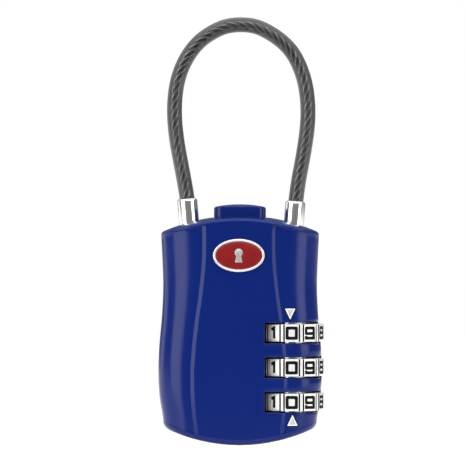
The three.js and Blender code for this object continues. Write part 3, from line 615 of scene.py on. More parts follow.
def along(table, z):
    """A smooth value at heights z from (height, value) pairs."""
    heights = np.array([p[0] for p in table], float)
    values = np.array([p[1] for p in table], float)
    slopes = np.gradient(values, heights, edge_order=1)
    slopes[1:-1] = (values[2:] - values[:-2]) / (heights[2:] - heights[:-2])
    z = np.asarray(z, float)
    i = np.clip(np.searchsorted(heights, z) - 1, 0, len(heights) - 2)
    span = heights[i + 1] - heights[i]
    t = (z - heights[i]) / span
    rise = values[i + 1] - values[i]
    m0, m1 = slopes[i] * span, slopes[i + 1] * span
    return values[i] + t * (m0 + t * (3 * rise - 2 * m0 - m1 + t * (m0 + m1 - 2 * rise)))


def top_height(x):
    return CASE_TOP - TOP_RADIUS + np.sqrt(TOP_RADIUS**2 - np.asarray(x, float) ** 2)


def bottom_height(x):
    return BOTTOM_RADIUS - np.sqrt(BOTTOM_RADIUS**2 - np.asarray(x, float) ** 2)


def crown(end, y):
    """How far the case's top or bottom has fallen away at a depth y from the middle."""
    return end["crown"] * (np.abs(y) / -FRONT_Y) ** CROWN_POWER


PANEL_SHARES = (0.0, 0.25, 0.5, 0.75)
WING_STEPS = 18
BACK_STEPS = 12
SIDE_STEPS = 6
ROUND_STEPS = 6
CREASE_FADE = 0.35
CREASE_START = 0.15
NEAR_SLOT = 0.7
PAST_SLOTS = 0.9
LOW_ROWS = 7
HIGH_ROWS = 18
FLAT_STEPS = 5
SECTION_PASSES = 4
LEVEL_LOW = 6.0  # rows between these two heights are level, and follow the curved ends beyond
LEVEL_HIGH = 30.0


def half_section(z, inset_x, inset_y, step, front):
    """Points of one half of the case from its middle to where its side turns straight."""
    half = along(SIDE, z) - inset_x
    if front:
        crease = along(CREASE, z)
        face = FRONT_Y + inset_y
        points = [(crease * share, face) for share in PANEL_SHARES]
        points += [(crease + CREASE_WIDTH * t, face + step * e) for t, e in CREASE_EASE]
        wing_x = crease + CREASE_WIDTH
        wing_y = face + step
        for a in np.linspace(0, math.pi / 2, WING_STEPS + 1)[1:]:
            depth = SIDE_FRONT_Y + (wing_y - SIDE_FRONT_Y) * math.cos(a)
            points.append((wing_x + (half - wing_x) * math.sin(a), depth))
        return points
    flat = half - BACK_ROUND + inset_x
    points = [(flat * t, BACK_Y - inset_y) for t in np.linspace(0, 1, FLAT_STEPS)]
    for a in np.linspace(0, math.pi / 2, BACK_STEPS + 1)[1:]:
        depth = SIDE_BACK_Y + (BACK_Y - inset_y - SIDE_BACK_Y) * math.cos(a)
        points.append((flat + (half - flat) * math.sin(a), depth))
    return points


def section_row(height, insets, step, seam, front):
    """One row of the case's surface from the left seam to the right. height maps x and y to z."""
    z = np.full(len(half_section(LEVEL_LOW, 0, 0, 0, front)), float(height(0, 0)))
    for _ in range(SECTION_PASSES):
        half = np.array([half_section(h, *insets, step, front)[i] for i, h in enumerate(z)])
        z = height(half[:, 0], half[:, 1])
    side_y = np.linspace(half[-1, 1], seam, SIDE_STEPS + 1)[1:]
    side = np.stack([np.full(SIDE_STEPS, half[-1, 0]), side_y], 1)
    right = np.concatenate([half, side])
    heights = np.concatenate([z, height(side[:, 0], side[:, 1])])
    row = np.column_stack([right, heights])
    left = row[1:] * np.array((-1, 1, 1))
    return np.concatenate([left[::-1], row])


def row_heights():
    """Heights of the straight rows, clear of the dial slots' edges, with the crease's share."""
    edges = sorted(z + k * SLOT_HEIGHT / 2 for z in DIAL_Z for k in (-1, 1))
    inner = [e for a, b in zip(edges, edges[1:]) for e in np.linspace(a, b, 5)[1:-1]
             if min(abs(e - a), abs(e - b)) > NEAR_SLOT]
    low = list(np.linspace(FOOT["round"] + CREASE_FADE, edges[0] - PAST_SLOTS, LOW_ROWS))
    high = list(np.linspace(edges[-1] + PAST_SLOTS, CASE_TOP - RIM["round"] - CREASE_FADE,
                            HIGH_ROWS))
    rows = [(FOOT["round"], 0.0), (FOOT["round"] + CREASE_START, 0.0)]
    rows += [(h, 1.0) for h in low + inner + high]
    return rows + [(CASE_TOP - RIM["round"] - CREASE_START, 0.0), (CASE_TOP - RIM["round"], 0.0)]


def round_rows(end, edge, sign, inset, seam, front):
    """The rows of the round at the case's top or foot, from the straight side to the flat end."""
    rows = []
    for a in np.linspace(0, math.pi / 2, ROUND_STEPS + 1)[1:]:
        fall = end["round"] * (1 - math.sin(a)) + inset
        insets = (inset + end["side"] * (1 - math.cos(a)), inset + end["round"] * (1 - math.cos(a)))
        rows.append(section_row(
            lambda x, y, k=fall: edge(x) - sign * (crown(end, y) + k), insets, 0.0, seam, front))
    return rows


def case_half(name, front, inset=0.0, seam=None):
    """One closed half of the case: surface, rounded ends and seam face."""
    side = -1 if front else 1
    seam = SEAM_Y + side * SEAM_GAP / 2 if seam is None else seam

    def straight(h):
        if h > LEVEL_HIGH:
            share = (h - LEVEL_HIGH) / (CASE_TOP - RIM["round"] - LEVEL_HIGH)
            return lambda x, y: h - inset - share * (CASE_TOP - top_height(x) + crown(RIM, y))
        share = max(0.0, (LEVEL_LOW - h) / (LEVEL_LOW - FOOT["round"]))
        return lambda x, y: h + inset + share * (bottom_height(x) + crown(FOOT, y))

    rows = round_rows(FOOT, bottom_height, -1, inset, seam, front)[::-1]
    for h, crease_share in row_heights():
        step = CREASE_STEP * crease_share
        rows.append(section_row(straight(h), (inset, inset), step, seam, front))
    rows += round_rows(RIM, top_height, 1, inset, seam, front)
    columns = len(rows[0])
    points = list(np.concatenate(rows))
    faces = grid_faces(len(rows), columns)
    seam_lines = []
    ends = ((rows[0], FOOT, bottom_height, -1), (rows[-1], RIM, top_height, 1))
    for row, end, edge, sign in ends:
        inner = row[SIDE_STEPS:columns - SIDE_STEPS]
        first = len(points)
        for t in np.linspace(0, 1, SIDE_STEPS + 1):
            line = inner.copy()
            line[:, 1] = inner[:, 1] + (seam - inner[:, 1]) * t
            line[:, 2] = edge(line[:, 0]) - sign * (crown(end, line[:, 1]) + inset)
            points += list(line)
        faces += grid_faces(SIDE_STEPS + 1, len(inner), first)
        seam_lines.append([first + SIDE_STEPS * len(inner) + i for i in range(len(inner))])
    left = [r * columns for r in range(len(rows))]
    right = [r * columns + columns - 1 for r in range(len(rows))]
    loop = left + seam_lines[1][1:-1] + right[::-1] + seam_lines[0][::-1][1:-1]
    faces.append(tuple(loop))
    return new_object(name, points, faces)


# ---- Cuts in the case ---------------------------------------------------------------------------

# Places well outside the case, where a cutter may end
RIGHT_OF_CASE = 20
FRONT_OF_CASE = -9
BEHIND_CASE = 9
BELOW_CASE = -1
ABOVE_CASE = 50

MOUTH_TRIM = 0.02
BORE_TRIM = 0.08
ABOVE_MOUTH = 7
BUTTON_WELL_LOW = 39.6
FLANGE_WELL_HIGH = 44.0
DIAL_ROOM = 0.35
WINDOW_PAST_AXIS = 0.2
SLEEVE_BORE_LOW = 5.3
SPINDLE_BORE_HIGH = 28
RESET_RADIUS = 2.0
RESET_BORE = (2.9, 5.4)
KEY_BORE_HIGH = 10.4
PIN_FRONT = -3.8
PIN_SEAT = 0.5
PIN_HEAD_ROOM = 0.2
PIN_HEAD_END = 8
HOLLOW_SEAM = 0.15
DIAL_ZONE_LEFT = 3.92
DIAL_ZONE_HIGH = 27.0
INDEX_POCKET = {"grow": 0.16, "depth": 0.72}
INDEX_GROW = {"side": 1.6, "tip": 2.2}

# Bevel weights of the skin's edges, and what counts as an edge and as painted
SLOT_EDGE = 0.22
SLOT_EDGE_MORE = 0.6
SLOT_EDGE_FROM_X = 12.5
SLOT_EDGE_SPAN = 2.5
SEAM_EDGE = 0.2
PIN_EDGE = 0.15
TOP_EDGE = 0.3
TOP_ZONE = 4
NEAR_PLANE = 0.3
SKIN_EDGE_ANGLE = 38
PAINTED_FACING = 0.6


def on_ferrule(ferrule):
    """The matrix from a frame along Z, with its zero at the case's mouth, to a ferrule's axis."""
    return Matrix.Translation((ferrule["x"], 0, ferrule["z"])) @ Matrix.Rotation(
        ferrule["lean"], 4, "Y")


def rounded_rectangle(width, depth, radius, grow=0.0, steps=8):
    """Points round a rectangle with round corners, grown outward by grow."""
    hx, hy = width / 2 - radius, depth / 2 - radius
    points = []
    for quarter, (sx, sy) in enumerate(((1, 1), (-1, 1), (-1, -1), (1, -1))):
        for t in np.linspace(0, math.pi / 2, steps + 1):
            a = quarter * math.pi / 2 + t
            reach = radius + grow
            points.append((sx * hx + reach * math.cos(a), sy * hy + reach * math.sin(a)))
    return np.array(points)


def flat_ring(outline, z):
    return np.column_stack([outline, np.full(len(outline), z)])


def ferrule_bore(ferrule):
    radius = FERRULE_RADIUS + CLEARANCE - BORE_TRIM
    rings = [circle(radius, 96, z=z) for z in (-ferrule["bore"], ABOVE_MOUTH)]
    return ring_stack("cutter", rings, matrix=on_ferrule(ferrule))


def button_mouth():
    outline = rounded_rectangle(BUTTON_WIDTH, BUTTON_DEPTH, BUTTON_CORNER, CLEARANCE - MOUTH_TRIM)
    pocket = rounded_rectangle(BUTTON_WIDTH, BUTTON_DEPTH, BUTTON_CORNER, CLEARANCE + FLANGE_LIP)
    mouth = ring_stack("cutter", [flat_ring(outline, z) for z in (BUTTON_WELL_LOW, ABOVE_CASE)])
    well = [flat_ring(pocket, z) for z in (BUTTON_WELL_LOW, FLANGE_WELL_HIGH)]
    return combine(mouth, [ring_stack("cutter", well)], "UNION")


def wing_depth(x, z):
    """Y of the front wing's surface at x and z."""
    half = along(SIDE, z)
    wing_x = along(CREASE, z) + CREASE_WIDTH
    sine = (x - wing_x) / (half - wing_x)
    return SIDE_FRONT_Y + (FRONT_Y + CREASE_STEP - SIDE_FRONT_Y) * math.sqrt(1 - sine * sine)


def index_matrix(mark):
    place_at = (mark["x"], wing_depth(mark["x"], mark["z"]), mark["z"])
    return Matrix.Translation(place_at) @ Matrix.Rotation(INDEX_TURN, 4, "Z")


def index_triangle(mark, grow):
    half = INDEX_HALF_WIDTH + INDEX_GROW["side"] * grow
    base = -mark["up"] * (INDEX_HEIGHT / 2 + grow)
    tip = mark["up"] * (INDEX_HEIGHT / 2 + INDEX_GROW["tip"] * grow)
    return [(-half, base), (half, base), (0.0, tip)]


def dial_cutters():
    cutters = []
    for z in DIAL_Z:
        low, high = z - SLOT_HEIGHT / 2, z + SLOT_HEIGHT / 2
        pocket = rod_object("cutter", DIAL_RADIUS + DIAL_ROOM, DIAL_X, DIAL_Y, low, high, 120)
        window = box_object("cutter", (SLOT_LEFT_X, FRONT_OF_CASE, low),
                            (RIGHT_OF_CASE, DIAL_Y + WINDOW_PAST_AXIS, high))
        side = box_object("cutter", (DIAL_X, DIAL_Y - 1, low), (RIGHT_OF_CASE, SLOT_BACK_Y, high))
        combine(pocket, [window, side], "UNION")
        cutters.append(pocket)
    rods = ((SLEEVE_BORE, SLEEVE_BORE_LOW, WEB_LOW), (SPINDLE_BORE, BELOW_CASE, SPINDLE_BORE_HIGH),
            (RESET_RADIUS, *RESET_BORE))
    return cutters + [rod_object("cutter", r, DIAL_X, DIAL_Y, low, high) for r, low, high in rods]


def pin_cutters():
    cutters = []
    for x, z in CASE_PINS:
        seat = BACK_Y - PIN_SEAT
        cutters.append(cross_rod("cutter", PIN_RADIUS + CLEARANCE, x, z, PIN_FRONT, seat))
        head = PIN_HEAD_RADIUS + PIN_HEAD_ROOM
        cutters.append(cross_rod("cutter", head, x, z, BACK_Y - 1, PIN_HEAD_END))
    return cutters


def hollow(node, front):
    """The room inside one CAD half, for its mechanism, without the room for the dials."""
    seam = SEAM_Y + (HOLLOW_SEAM if front else -HOLLOW_SEAM)
    inner = case_half("hollow", front, inset=HOLLOW_INSET, seam=seam)
    combine(inner, [frame["nodes"][node]], keep=True)
    dial_zone = box_object("cutter", (DIAL_ZONE_LEFT, FRONT_OF_CASE, -5),
                           (RIGHT_OF_CASE, BEHIND_CASE, DIAL_ZONE_HIGH))
    return combine(inner, [dial_zone])


def skin_tree(skin):
    return BVHTree.FromObject(skin, bpy.context.evaluated_depsgraph_get())


def on_skin(tree, places, tolerance=3e-6):
    return all(tree.find_nearest(p)[3] < tolerance for p in places)


def edge_round(x, y, z):
    """How large a round, from 0 to 1, a sharp edge of the case's skin gets at a place."""
    if any(abs(z - d) < SLOT_HEIGHT / 2 + 0.02 for d in DIAL_Z) and x > SLOT_LEFT_X - 0.1:
        share = min(1.0, max(0.0, (x - SLOT_EDGE_FROM_X) / SLOT_EDGE_SPAN))
        return SLOT_EDGE + SLOT_EDGE_MORE * share
    if abs(y - SEAM_Y) < NEAR_PLANE:
        return SEAM_EDGE
    if y > BACK_Y - NEAR_PLANE:
        return PIN_EDGE
    if z > CASE_TOP - TOP_ZONE:
        return TOP_EDGE
    return 0.0


def mark_skin(obj, tree):
    """Paint on the faces of the outer skin, near-black painted shade inside, and bevel weights on
    the skin's edges.
    """
    work = bmesh.new()
    work.from_mesh(obj.data)
    weight = work.edges.layers.float.new("bevel_weight_edge")
    for face in work.faces:
        outward = tree.find_nearest(face.calc_center_median())[1].dot(face.normal)
        painted = outward > PAINTED_FACING and on_skin(tree, [v.co for v in face.verts])
        # Faces off the outer skin get the near-black painted shade
        face.material_index = 0 if painted else 1
    for edge in work.edges:
        if len(edge.link_faces) != 2 or edge.calc_face_angle(0) < math.radians(SKIN_EDGE_ANGLE):
            continue
        if on_skin(tree, [v.co for v in edge.verts]):
            x, y, z = (edge.verts[0].co + edge.verts[1].co) / 2 / MM
            edge[weight] = edge_round(x, y, z - CASE_LOW / MM)
    work.to_mesh(obj.data)
    work.free()


def build_case_half(node, front):
    block = case_half(node, front)
    tree = skin_tree(block)
    cutters = [hollow(node, front), *dial_cutters()]
    cutters += [ferrule_bore(FREE), ferrule_bore(FIXED), button_mouth()]
    key_bore = BARREL_RADIUS + CLEARANCE
    cutters.append(rod_object("cutter", key_bore, KEY_X, 0, BELOW_CASE, KEY_BORE_HIGH))
    if front:
        cutters += [prism("cutter", index_triangle(m, INDEX_POCKET["grow"]), -2,
                          INDEX_POCKET["depth"], index_matrix(m)) for m in INDEX_MARKS]
    cutters += pin_cutters()
    combine(block, cutters)
    tidy_mesh(block.data, 2e-6)
    block.data.materials.clear()
    for name in ("case_paint", "case_inside_painted_shade"):
        block.data.materials.append(MATERIALS[name])
    mark_skin(block, tree)
    step = block.modifiers.new("bevel", "BEVEL")
    step.width = CASE_EDGE * MM
    step.segments = 3
    step.limit_method = "WEIGHT"
    step.use_clamp_overlap = False
    step.material = 0
    baked(block)
    return smooth_shading(block, 34)


for side_name, is_front in (("front", True), ("rear", False)):
    case_piece = build_case_half(side_name + "_case", is_front)
    case_piece.name = "case_" + side_name
    finish_piece(case_piece, "case", nodes=[side_name + "_case"])

# ---- Push button --------------------------------------------------------------------------------


def button_top(x):
    return BUTTON_TOP - BUTTON_CROWN + np.sqrt(BUTTON_CROWN**2 - x * x)


def build_button():
    def outline(grow):
        return rounded_rectangle(BUTTON_WIDTH, BUTTON_DEPTH, BUTTON_CORNER, grow, 12)

    low, high, lip, ease = FLANGE_LOW, FLANGE_HIGH, FLANGE_LIP, FLANGE_EASE
    levels = [(-BUTTON_FOOT_INSET, low), (lip - ease, low), (lip, low + ease), (lip, high - ease),
              (lip - ease, high), (0.0, high), (0.0, high + BUTTON_NECK)]
    rings = [flat_ring(outline(grow), z) for grow, z in levels]
    for a in np.linspace(0, math.pi / 2, 8):
        ring = outline(-BUTTON_EDGE * (1 - math.cos(a)))
        height = button_top(ring[:, 0]) - BUTTON_EDGE * (1 - math.sin(a))
        rings.append(np.column_stack([ring, height]))
    edge = outline(-BUTTON_EDGE)
    for share in np.linspace(1, 0.02, 10)[1:]:
        ring = edge * share
        rings.append(np.column_stack([ring, button_top(ring[:, 0])]))
    button = ring_stack("button_cap", rings)
    return smooth_shading(button, 50)


finish_piece(build_button(), "button", ["button_paint"], ["push_button"])

# ---- Ferrules -----------------------------------------------------------------------------------


def ferrule_profile(foot, out):
    """A ferrule's outline, from the foot given to the mouth the cable goes into."""
    return [
        *foot, (FERRULE_RADIUS, out - MOUTH_SLOPE[1]), (FERRULE_RADIUS - MOUTH_SLOPE[0], out),
        (FERRULE_MOUTH, out), (FERRULE_MOUTH, out - MOUTH_DEPTH), (0, out - MOUTH_DEPTH),
    ]


FREE_FOOT = ((0, -12.1), (1.3, -12.1), (1.95, -11.4), (1.95, -10.7), (NECK_RADIUS, -9.3),
             (NECK_RADIUS, -5.2), (FERRULE_RADIUS, -5.2))
FIXED_FOOT = ((0, -6.6), (FERRULE_RADIUS, -6.6), (FERRULE_RADIUS, -4.4), (NECK_RADIUS, -4.4),
              (NECK_RADIUS, -3.0), (FERRULE_RADIUS, -3.0))
for piece_name, ferrule, foot, body, node in (
        ("ferrule_left", FREE, FREE_FOOT, "free_end", "free_ferrule"),
        ("ferrule_right", FIXED, FIXED_FOOT, "case", "fixed_ferrule")):
    turned = lathe(piece_name, ferrule_profile(foot, ferrule["out"]), 0.09, 96, on_ferrule(ferrule))
    smooth_shading(turned, 40)
    finish_piece(turned, body, ["ferrule_metal"], [node])

# ---- Cable --------------------------------------------------------------------------------------


KNOT_STEPS = 24
EASING_PASSES = 60
HEART_SHARE = 0.6
JACKET_SIDES = 40


def cable_line(step=0.25):
    """Evenly spaced places along the cable in X and Z, with the directions there."""
    knots = np.array(CABLE_ROUTE)
    dense = []
    for i in range(len(knots) - 1):
        p = [knots[max(0, min(len(knots) - 1, i + k))] for k in (-1, 0, 1, 2)]
        for t in np.linspace(0, 1, KNOT_STEPS, endpoint=False):
            dense.append(0.5 * (2 * p[1] + (p[2] - p[0]) * t
                                + (2 * p[0] - 5 * p[1] + 4 * p[2] - p[3]) * t * t
                                + (3 * p[1] - p[0] - 3 * p[2] + p[3]) * t**3))
    dense = np.array(dense + [knots[-1]])
    for _ in range(EASING_PASSES):
        dense[1:-1] += 0.5 * ((dense[:-2] + dense[2:]) / 2 - dense[1:-1])
    far = np.concatenate([[0], np.cumsum(np.linalg.norm(np.diff(dense, axis=0), axis=1))])
    even = np.linspace(0, far[-1], int(far[-1] / step) + 1)
    line = np.column_stack([np.interp(even, far, dense[:, k]) for k in (0, 1)])
    ways = np.gradient(line, axis=0)
    return even, line, ways / np.linalg.norm(ways, axis=1)[:, None]


def ferrule_share(point, ferrule):
    """How far a place on the cable lies above a ferrule's mouth, along the ferrule."""
    way = np.array((math.sin(ferrule["lean"]), math.cos(ferrule["lean"])))
    return (point - np.array((ferrule["x"], ferrule["z"]))) @ way - ferrule["out"]


def cable_part(depth):
    """The cable's line between places at a depth inside both ferrules' mouths."""
    even, line, ways = cable_line()
    above = np.where(line[:, 0] < 0, ferrule_share(line, FREE), ferrule_share(line, FIXED))
    keep = above > -depth
    return even[keep], line[keep], ways[keep]


def tube_along(part, radius, sides, orbit=0.0, phase=0.0):
    """Rings of a tube that follows the cable, or winds round it at a radius of orbit."""
    rings = []
    for far, (x, z), (dx, dz) in zip(*part):
        across = np.array((dz, 0, -dx))
        depth = np.array((0, 1, 0))
        turn = 2 * math.pi * far / STRAND_PITCH + phase
        centre = np.array((x, 0, z)) + orbit * (math.cos(turn) * across + math.sin(turn) * depth)
        slant = 2 * math.pi * orbit / STRAND_PITCH
        around = -math.sin(turn) * across + math.cos(turn) * depth
        way = np.array((dx, 0, dz)) + slant * around
        way /= np.linalg.norm(way)
        first = math.cos(turn) * across + math.sin(turn) * depth
        second = np.cross(way, first)
        a = np.linspace(0, 2 * math.pi, sides, endpoint=False)[:, None]
        rings.append(centre + radius * (np.cos(a) * first + np.sin(a) * second))
    return rings


def cable_jacket():
    part = cable_part(JACKET_IN)
    outer = tube_along(part, JACKET_RADIUS, JACKET_SIDES)
    inner = tube_along(part, JACKET_BORE, JACKET_SIDES)
    cover = ring_stack("cable_cover", outer + inner[::-1], closed_path=True)
    cover.data.materials.append(MATERIALS["vinyl"])
    return cover


def cable_rope():
    part = cable_part(JACKET_IN - 0.02)
    heart = STRAND_HELIX - HEART_SHARE * STRAND_RADIUS
    strands = [ring_stack("strand", tube_along(part, heart, 16))]
    # The heart carries the painted shade that darkens the gaps between the strands
    strands[0].data.materials.append(MATERIALS["rope_gap_shade"])
    for k in range(STRANDS):
        phase = 2 * math.pi * k / STRANDS
        rings = tube_along(part, STRAND_RADIUS, 14, STRAND_HELIX, phase)
        strands.append(ring_stack("strand", rings))
        strands[-1].data.materials.append(MATERIALS["wire_rope"])
    return joined("cable_rope", strands)


def finish_cable(obj, node):
    """The cable runs from the case to the free end, and bends between them."""
    obj.data.shade_smooth()
    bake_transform(obj)
    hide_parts(node)


finish_cable(cable_jacket(), "cable_jacket")
finish_cable(cable_rope(), "cable_core")

# ---- Dials --------------------------------------------------------------------------------------

SEGMENTS = {
    0: [([(-1, -1), (1, -1), (1, 1), (-1, 1)], True)],
    1: [([(-0.7, 0.7), (0.1, 1.0), (0.1, -1.1)], False)],
    2: [([(-1, 1), (1, 1), (1, 0), (-1, 0), (-1, -1), (1, -1)], False)],
    3: [([(-1, 1), (1, 1), (1, -1), (-1, -1)], False), ([(-0.3, 0), (1, 0)], False)],
    4: [([(-1, 1.1), (-1, -0.15), (1.1, -0.15)], False), ([(0.5, 1.1), (0.5, -1.1)], False)],
    5: [([(1, 1), (-1, 1), (-1, 0.1), (1, 0.1), (1, -1), (-1, -1)], False)],
    6: [([(1, 1), (-1, 1), (-1, 0)], False), ([(-1, -1), (1, -1), (1, 0.1), (-1, 0.1)], True)],
    7: [([(-1, 1), (1, 1), (-0.1, -1.1)], False)],
    8: [([(-0.9, 0.02), (0.9, 0.02), (0.9, 1), (-0.9, 1)], True),
        ([(-1, -1), (1, -1), (1, 0.02), (-1, 0.02)], True)],
    9: [([(-1, -0.1), (1, -0.1), (1, 1), (-1, 1)], True),
        ([(1, 0), (1, -1), (-1, -1), (-1, -0.5)], False)],
}
GROOVE_FAR = 0.6
GROOVE_NEAR = 0.15
RIDGE_EDGE = 0.2
RIDGE_DROP = 0.05
RIDGE_FLAT = 0.55
OUTER_ROUND = 0.4
INNER_ROUND = 0.16


def stroke_sides(path, closed):
    """The two sides of a stroke along a path, half its width off, meeting in sharp corners."""
    path = np.array(path)
    ways = np.roll(path, -1, axis=0) - path
    ways /= np.linalg.norm(ways, axis=1)[:, None]
    after = np.column_stack([-ways[:, 1], ways[:, 0]])
    before = np.roll(after, 1, axis=0)
    if not closed:
        before[0] = after[0]
        after[-1] = before[-1]
    lean = 1 + np.sum(before * after, axis=1)[:, None]
    across = (before + after) / lean * DIGIT_STROKE / 2
    return path + across, path - across


def stroke(path, closed, matrix, near, far):
    """One stroke of a digit, as a solid between the depths near and far."""
    sized = [(x * DIGIT_HALF_WIDTH, z * DIGIT_HALF_HEIGHT) for x, z in path]
    left, right = stroke_sides(sized, closed)
    if not closed:
        outline = rounded_corners(list(left) + list(right[::-1]), INNER_ROUND, True, 3)
        return prism("stroke", outline, near, far, matrix)
    inner = rounded_corners(left, INNER_ROUND, True)
    outer = rounded_corners(right, OUTER_ROUND, True)
    corners = [(inner, near), (inner, far), (outer, far), (outer, near)]
    rings = [[(x, y, z) for x, z in side] for side, y in corners]
    return ring_stack("stroke", rings, smooth=False, closed_path=True, matrix=matrix)


def digit_solids(near, far):
    """All ten digits of a dial about the origin, each one solid. Y is the depth into the face."""
    made = []
    face = Matrix.Translation((0, -DIAL_FACE, 0))
    for digit, paths in SEGMENTS.items():
        strokes = [stroke(path, closed, face, near, far) for path, closed in paths]
        solid = combine(strokes[0], strokes[1:], "UNION") if strokes[1:] else strokes[0]
        tidy_mesh(solid.data)
        solid.data.transform(Matrix.Rotation(-2 * math.pi * digit / DIGITS, 4, "Z"))
        made.append(solid)
    return made


def wheel_outline(inset):
    """The dial's outline: ten flat faces with a ridge between two fine grooves at each joint.

    At each joint, groove points lie at shares of the groove's angle off the ridge's edge.
    """
    half = math.radians(DIAL_FACE_ANGLE)
    groove = math.radians(DIAL_GROOVE_ANGLE)
    ring = []
    for k in range(DIGITS):
        middle = -math.pi / 2 - 2 * math.pi * k / DIGITS
        for share in np.linspace(1, -1, 9):
            a = half * share
            ring.append((DIAL_FACE / math.cos(a), middle + a))
        joint = middle - math.pi / DIGITS
        ridge = math.pi / DIGITS - half - groove
        low, high = DIAL_RADIUS - GROOVE_FLOOR, DIAL_RADIUS
        ring += [(low, joint + ridge + GROOVE_FAR * groove)]
        ring += [(low, joint + ridge + GROOVE_NEAR * groove)]
        ring += [(high - RIDGE_DROP, joint + ridge - RIDGE_EDGE * groove)]
        ring += [(high, joint + side * RIDGE_FLAT * ridge) for side in (1, 0, -1)]
        ring += [(high - RIDGE_DROP, joint - ridge + RIDGE_EDGE * groove)]
        ring += [(low, joint - ridge - GROOVE_NEAR * groove)]
        ring += [(low, joint - ridge - GROOVE_FAR * groove)]
    return np.array([((r - inset) * math.cos(a), (r - inset) * math.sin(a)) for r, a in ring])


def dial_blank():
    """One dial about the origin, without its digits."""
    top = DIAL_HEIGHT / 2
    angles = np.array([math.atan2(y, x) for x, y in wheel_outline(0)])
    bore = SLEEVE_BORE * np.column_stack([np.cos(angles), np.sin(angles)])
    soft, near = DIAL_CHAMFER * 0.25, DIAL_CHAMFER * 0.35
    levels = [(DIAL_CHAMFER, -top), (soft, -top + near)]
    levels += [(0, z) for z in np.linspace(-1, 1, 4) * (top - DIAL_CHAMFER)]
    levels += [(soft, top - near), (DIAL_CHAMFER, top)]
    outer = [flat_ring(wheel_outline(inset), z) for inset, z in levels]
    rings = [flat_ring(bore, -top), *outer, flat_ring(bore, top)]
    return ring_stack("dial_blank", rings, closed_path=True)


def paint_groove_shade(wheel):
    """Painted shade: the black digit paint on the fine grooves beside each ridge."""
    for name in ("dial_chrome", "digit_black"):
        wheel.data.materials.append(MATERIALS[name])
    low = DIAL_RADIUS - GROOVE_FLOOR
    for face in wheel.data.polygons:
        reach = [math.hypot(*wheel.data.vertices[v].co.xy) / MM for v in face.vertices]
        # Groove walls at the groove floor's radius get the black painted shade
        if abs(face.normal.z) < 0.7 and any(abs(r - low) < 0.01 for r in reach):
            face.material_index = 1


def build_dials():
    """Three dials of one pattern, with their digits cut in and filled with black."""
    blank = dial_blank()
    combine(blank, digit_solids(-1, DIGIT_DEPTH))
    smooth_shading(blank, 30)
    paint_groove_shade(blank)
    digits = joined("digits", digit_solids(0.03, DIGIT_DEPTH + 0.02))
    for number, (body, z) in enumerate(zip(DIAL_BODIES, DIAL_Z), 1):
        offset = (DIAL_X, DIAL_Y, z)
        wheel = moved_copy(blank, f"number_wheel_{number}", offset)
        finish_piece(wheel, body, nodes=[f"dial_{number}"])
        marks = moved_copy(digits, f"wheel_digits_{number}", offset)
        finish_piece(marks, body, materials=["digit_black"])
    bpy.data.objects.remove(blank)
    bpy.data.objects.remove(digits)


build_dials()

# ---- Badge --------------------------------------------------------------------------------------


SIGN = {"radius": 0.78, "lift": 0.55, "half_foot": 0.74, "foot": 1.35}
RIM_MIDDLE = 0.2
FILL_INSET = 0.02
FILL_CROWN = 0.11
FILL_ROUND = 1.6


def oval(shrink, y, steps=96):
    a = np.linspace(0, 2 * math.pi, steps, endpoint=False)
    x = (BADGE_HALF_WIDTH - shrink) * np.cos(a)
    z = BADGE_Z + (BADGE_HALF_HEIGHT - shrink) * np.sin(a)
    return np.column_stack([x, np.full(steps, y), z])


def keyhole_sign(grow=0.0):
    """A plain keyhole shape: a round over a flared foot."""
    radius, lift = SIGN["radius"], SIGN["lift"]
    arc = [(radius * math.cos(a), lift + radius * math.sin(a))
           for a in np.linspace(-0.3 * math.pi, 1.3 * math.pi, 28)]
    points = arc + [(side * SIGN["half_foot"], -SIGN["foot"]) for side in (-1, 1)]
    size = 1 + grow
    return [(x * size, BADGE_Z + z * size) for x, z in points]


def build_badge():
    rim = BADGE_RIM
    rings = [oval(0.02, BADGE_BACK), oval(0.0, BADGE_BACK - 0.04)]
    middle_y, reach = BADGE_BACK - RIM_MIDDLE, BADGE_BACK - RIM_MIDDLE - BADGE_FRONT
    for a in np.linspace(0, math.pi, 9):
        rings.append(oval(rim / 2 * (1 - math.cos(a)), middle_y - reach * math.sin(a)))
    rings += [oval(rim, BADGE_FIELD), oval(rim + 0.1, BADGE_FIELD), oval(1.6, BADGE_FIELD)]
    plate = smooth_shading(ring_stack("badge_frame", rings), 40)
    sign = prism("sign", keyhole_sign(), BADGE_FRONT + 0.02, BADGE_FIELD + 0.05)
    bevelled(sign, 0.05)
    field = [oval(rim + FILL_INSET, BADGE_FIELD - 0.01)]
    for a in np.linspace(0, math.pi / 2, 7):
        depth = BADGE_FIELD - 0.05 - FILL_CROWN * math.sin(a)
        field.append(oval(rim + FILL_INSET + FILL_ROUND * (1 - math.cos(a)), depth))
    fill = ring_stack("badge_fill", field)
    combine(fill, [prism("cutter", keyhole_sign(0.06), -9, -6)])
    smooth_shading(fill, 30)
    finish_piece(joined("badge_frame", [plate, sign]), "case", ["badge_metal"],
                 ["badge_plate"])
    finish_piece(fill, "case", ["badge_enamel"], ["badge_enamel"])


build_badge()

# ---- Index marks --------------------------------------------------------------------------------


def build_index_mark(mark):
    matrix = index_matrix(mark)
    plate = prism("plate", index_triangle(mark, -INDEX_TRIM), -INDEX_PROUD, INDEX_BACK, matrix)
    recess = prism("cutter", index_triangle(mark, -INDEX_BORDER), -1, INDEX_RECESS, matrix)
    combine(plate, [recess])
    bevelled(plate, 0.035)
    plate.name = mark["name"].replace("mark", "border")
    finish_piece(plate, "case", ["index_white"], [mark["name"]])
    field = prism("field", index_triangle(mark, -INDEX_BORDER - INDEX_PROUD), *INDEX_FIELD, matrix)
    bevelled(field, 0.015)
    field.name = mark["name"].replace("mark", "field")
    finish_piece(field, "case", materials=["index_grey"])


for index_mark in INDEX_MARKS:
    build_index_mark(index_mark)

# ---- Key cylinder, reset pin and case pins ------------------------------------------------------


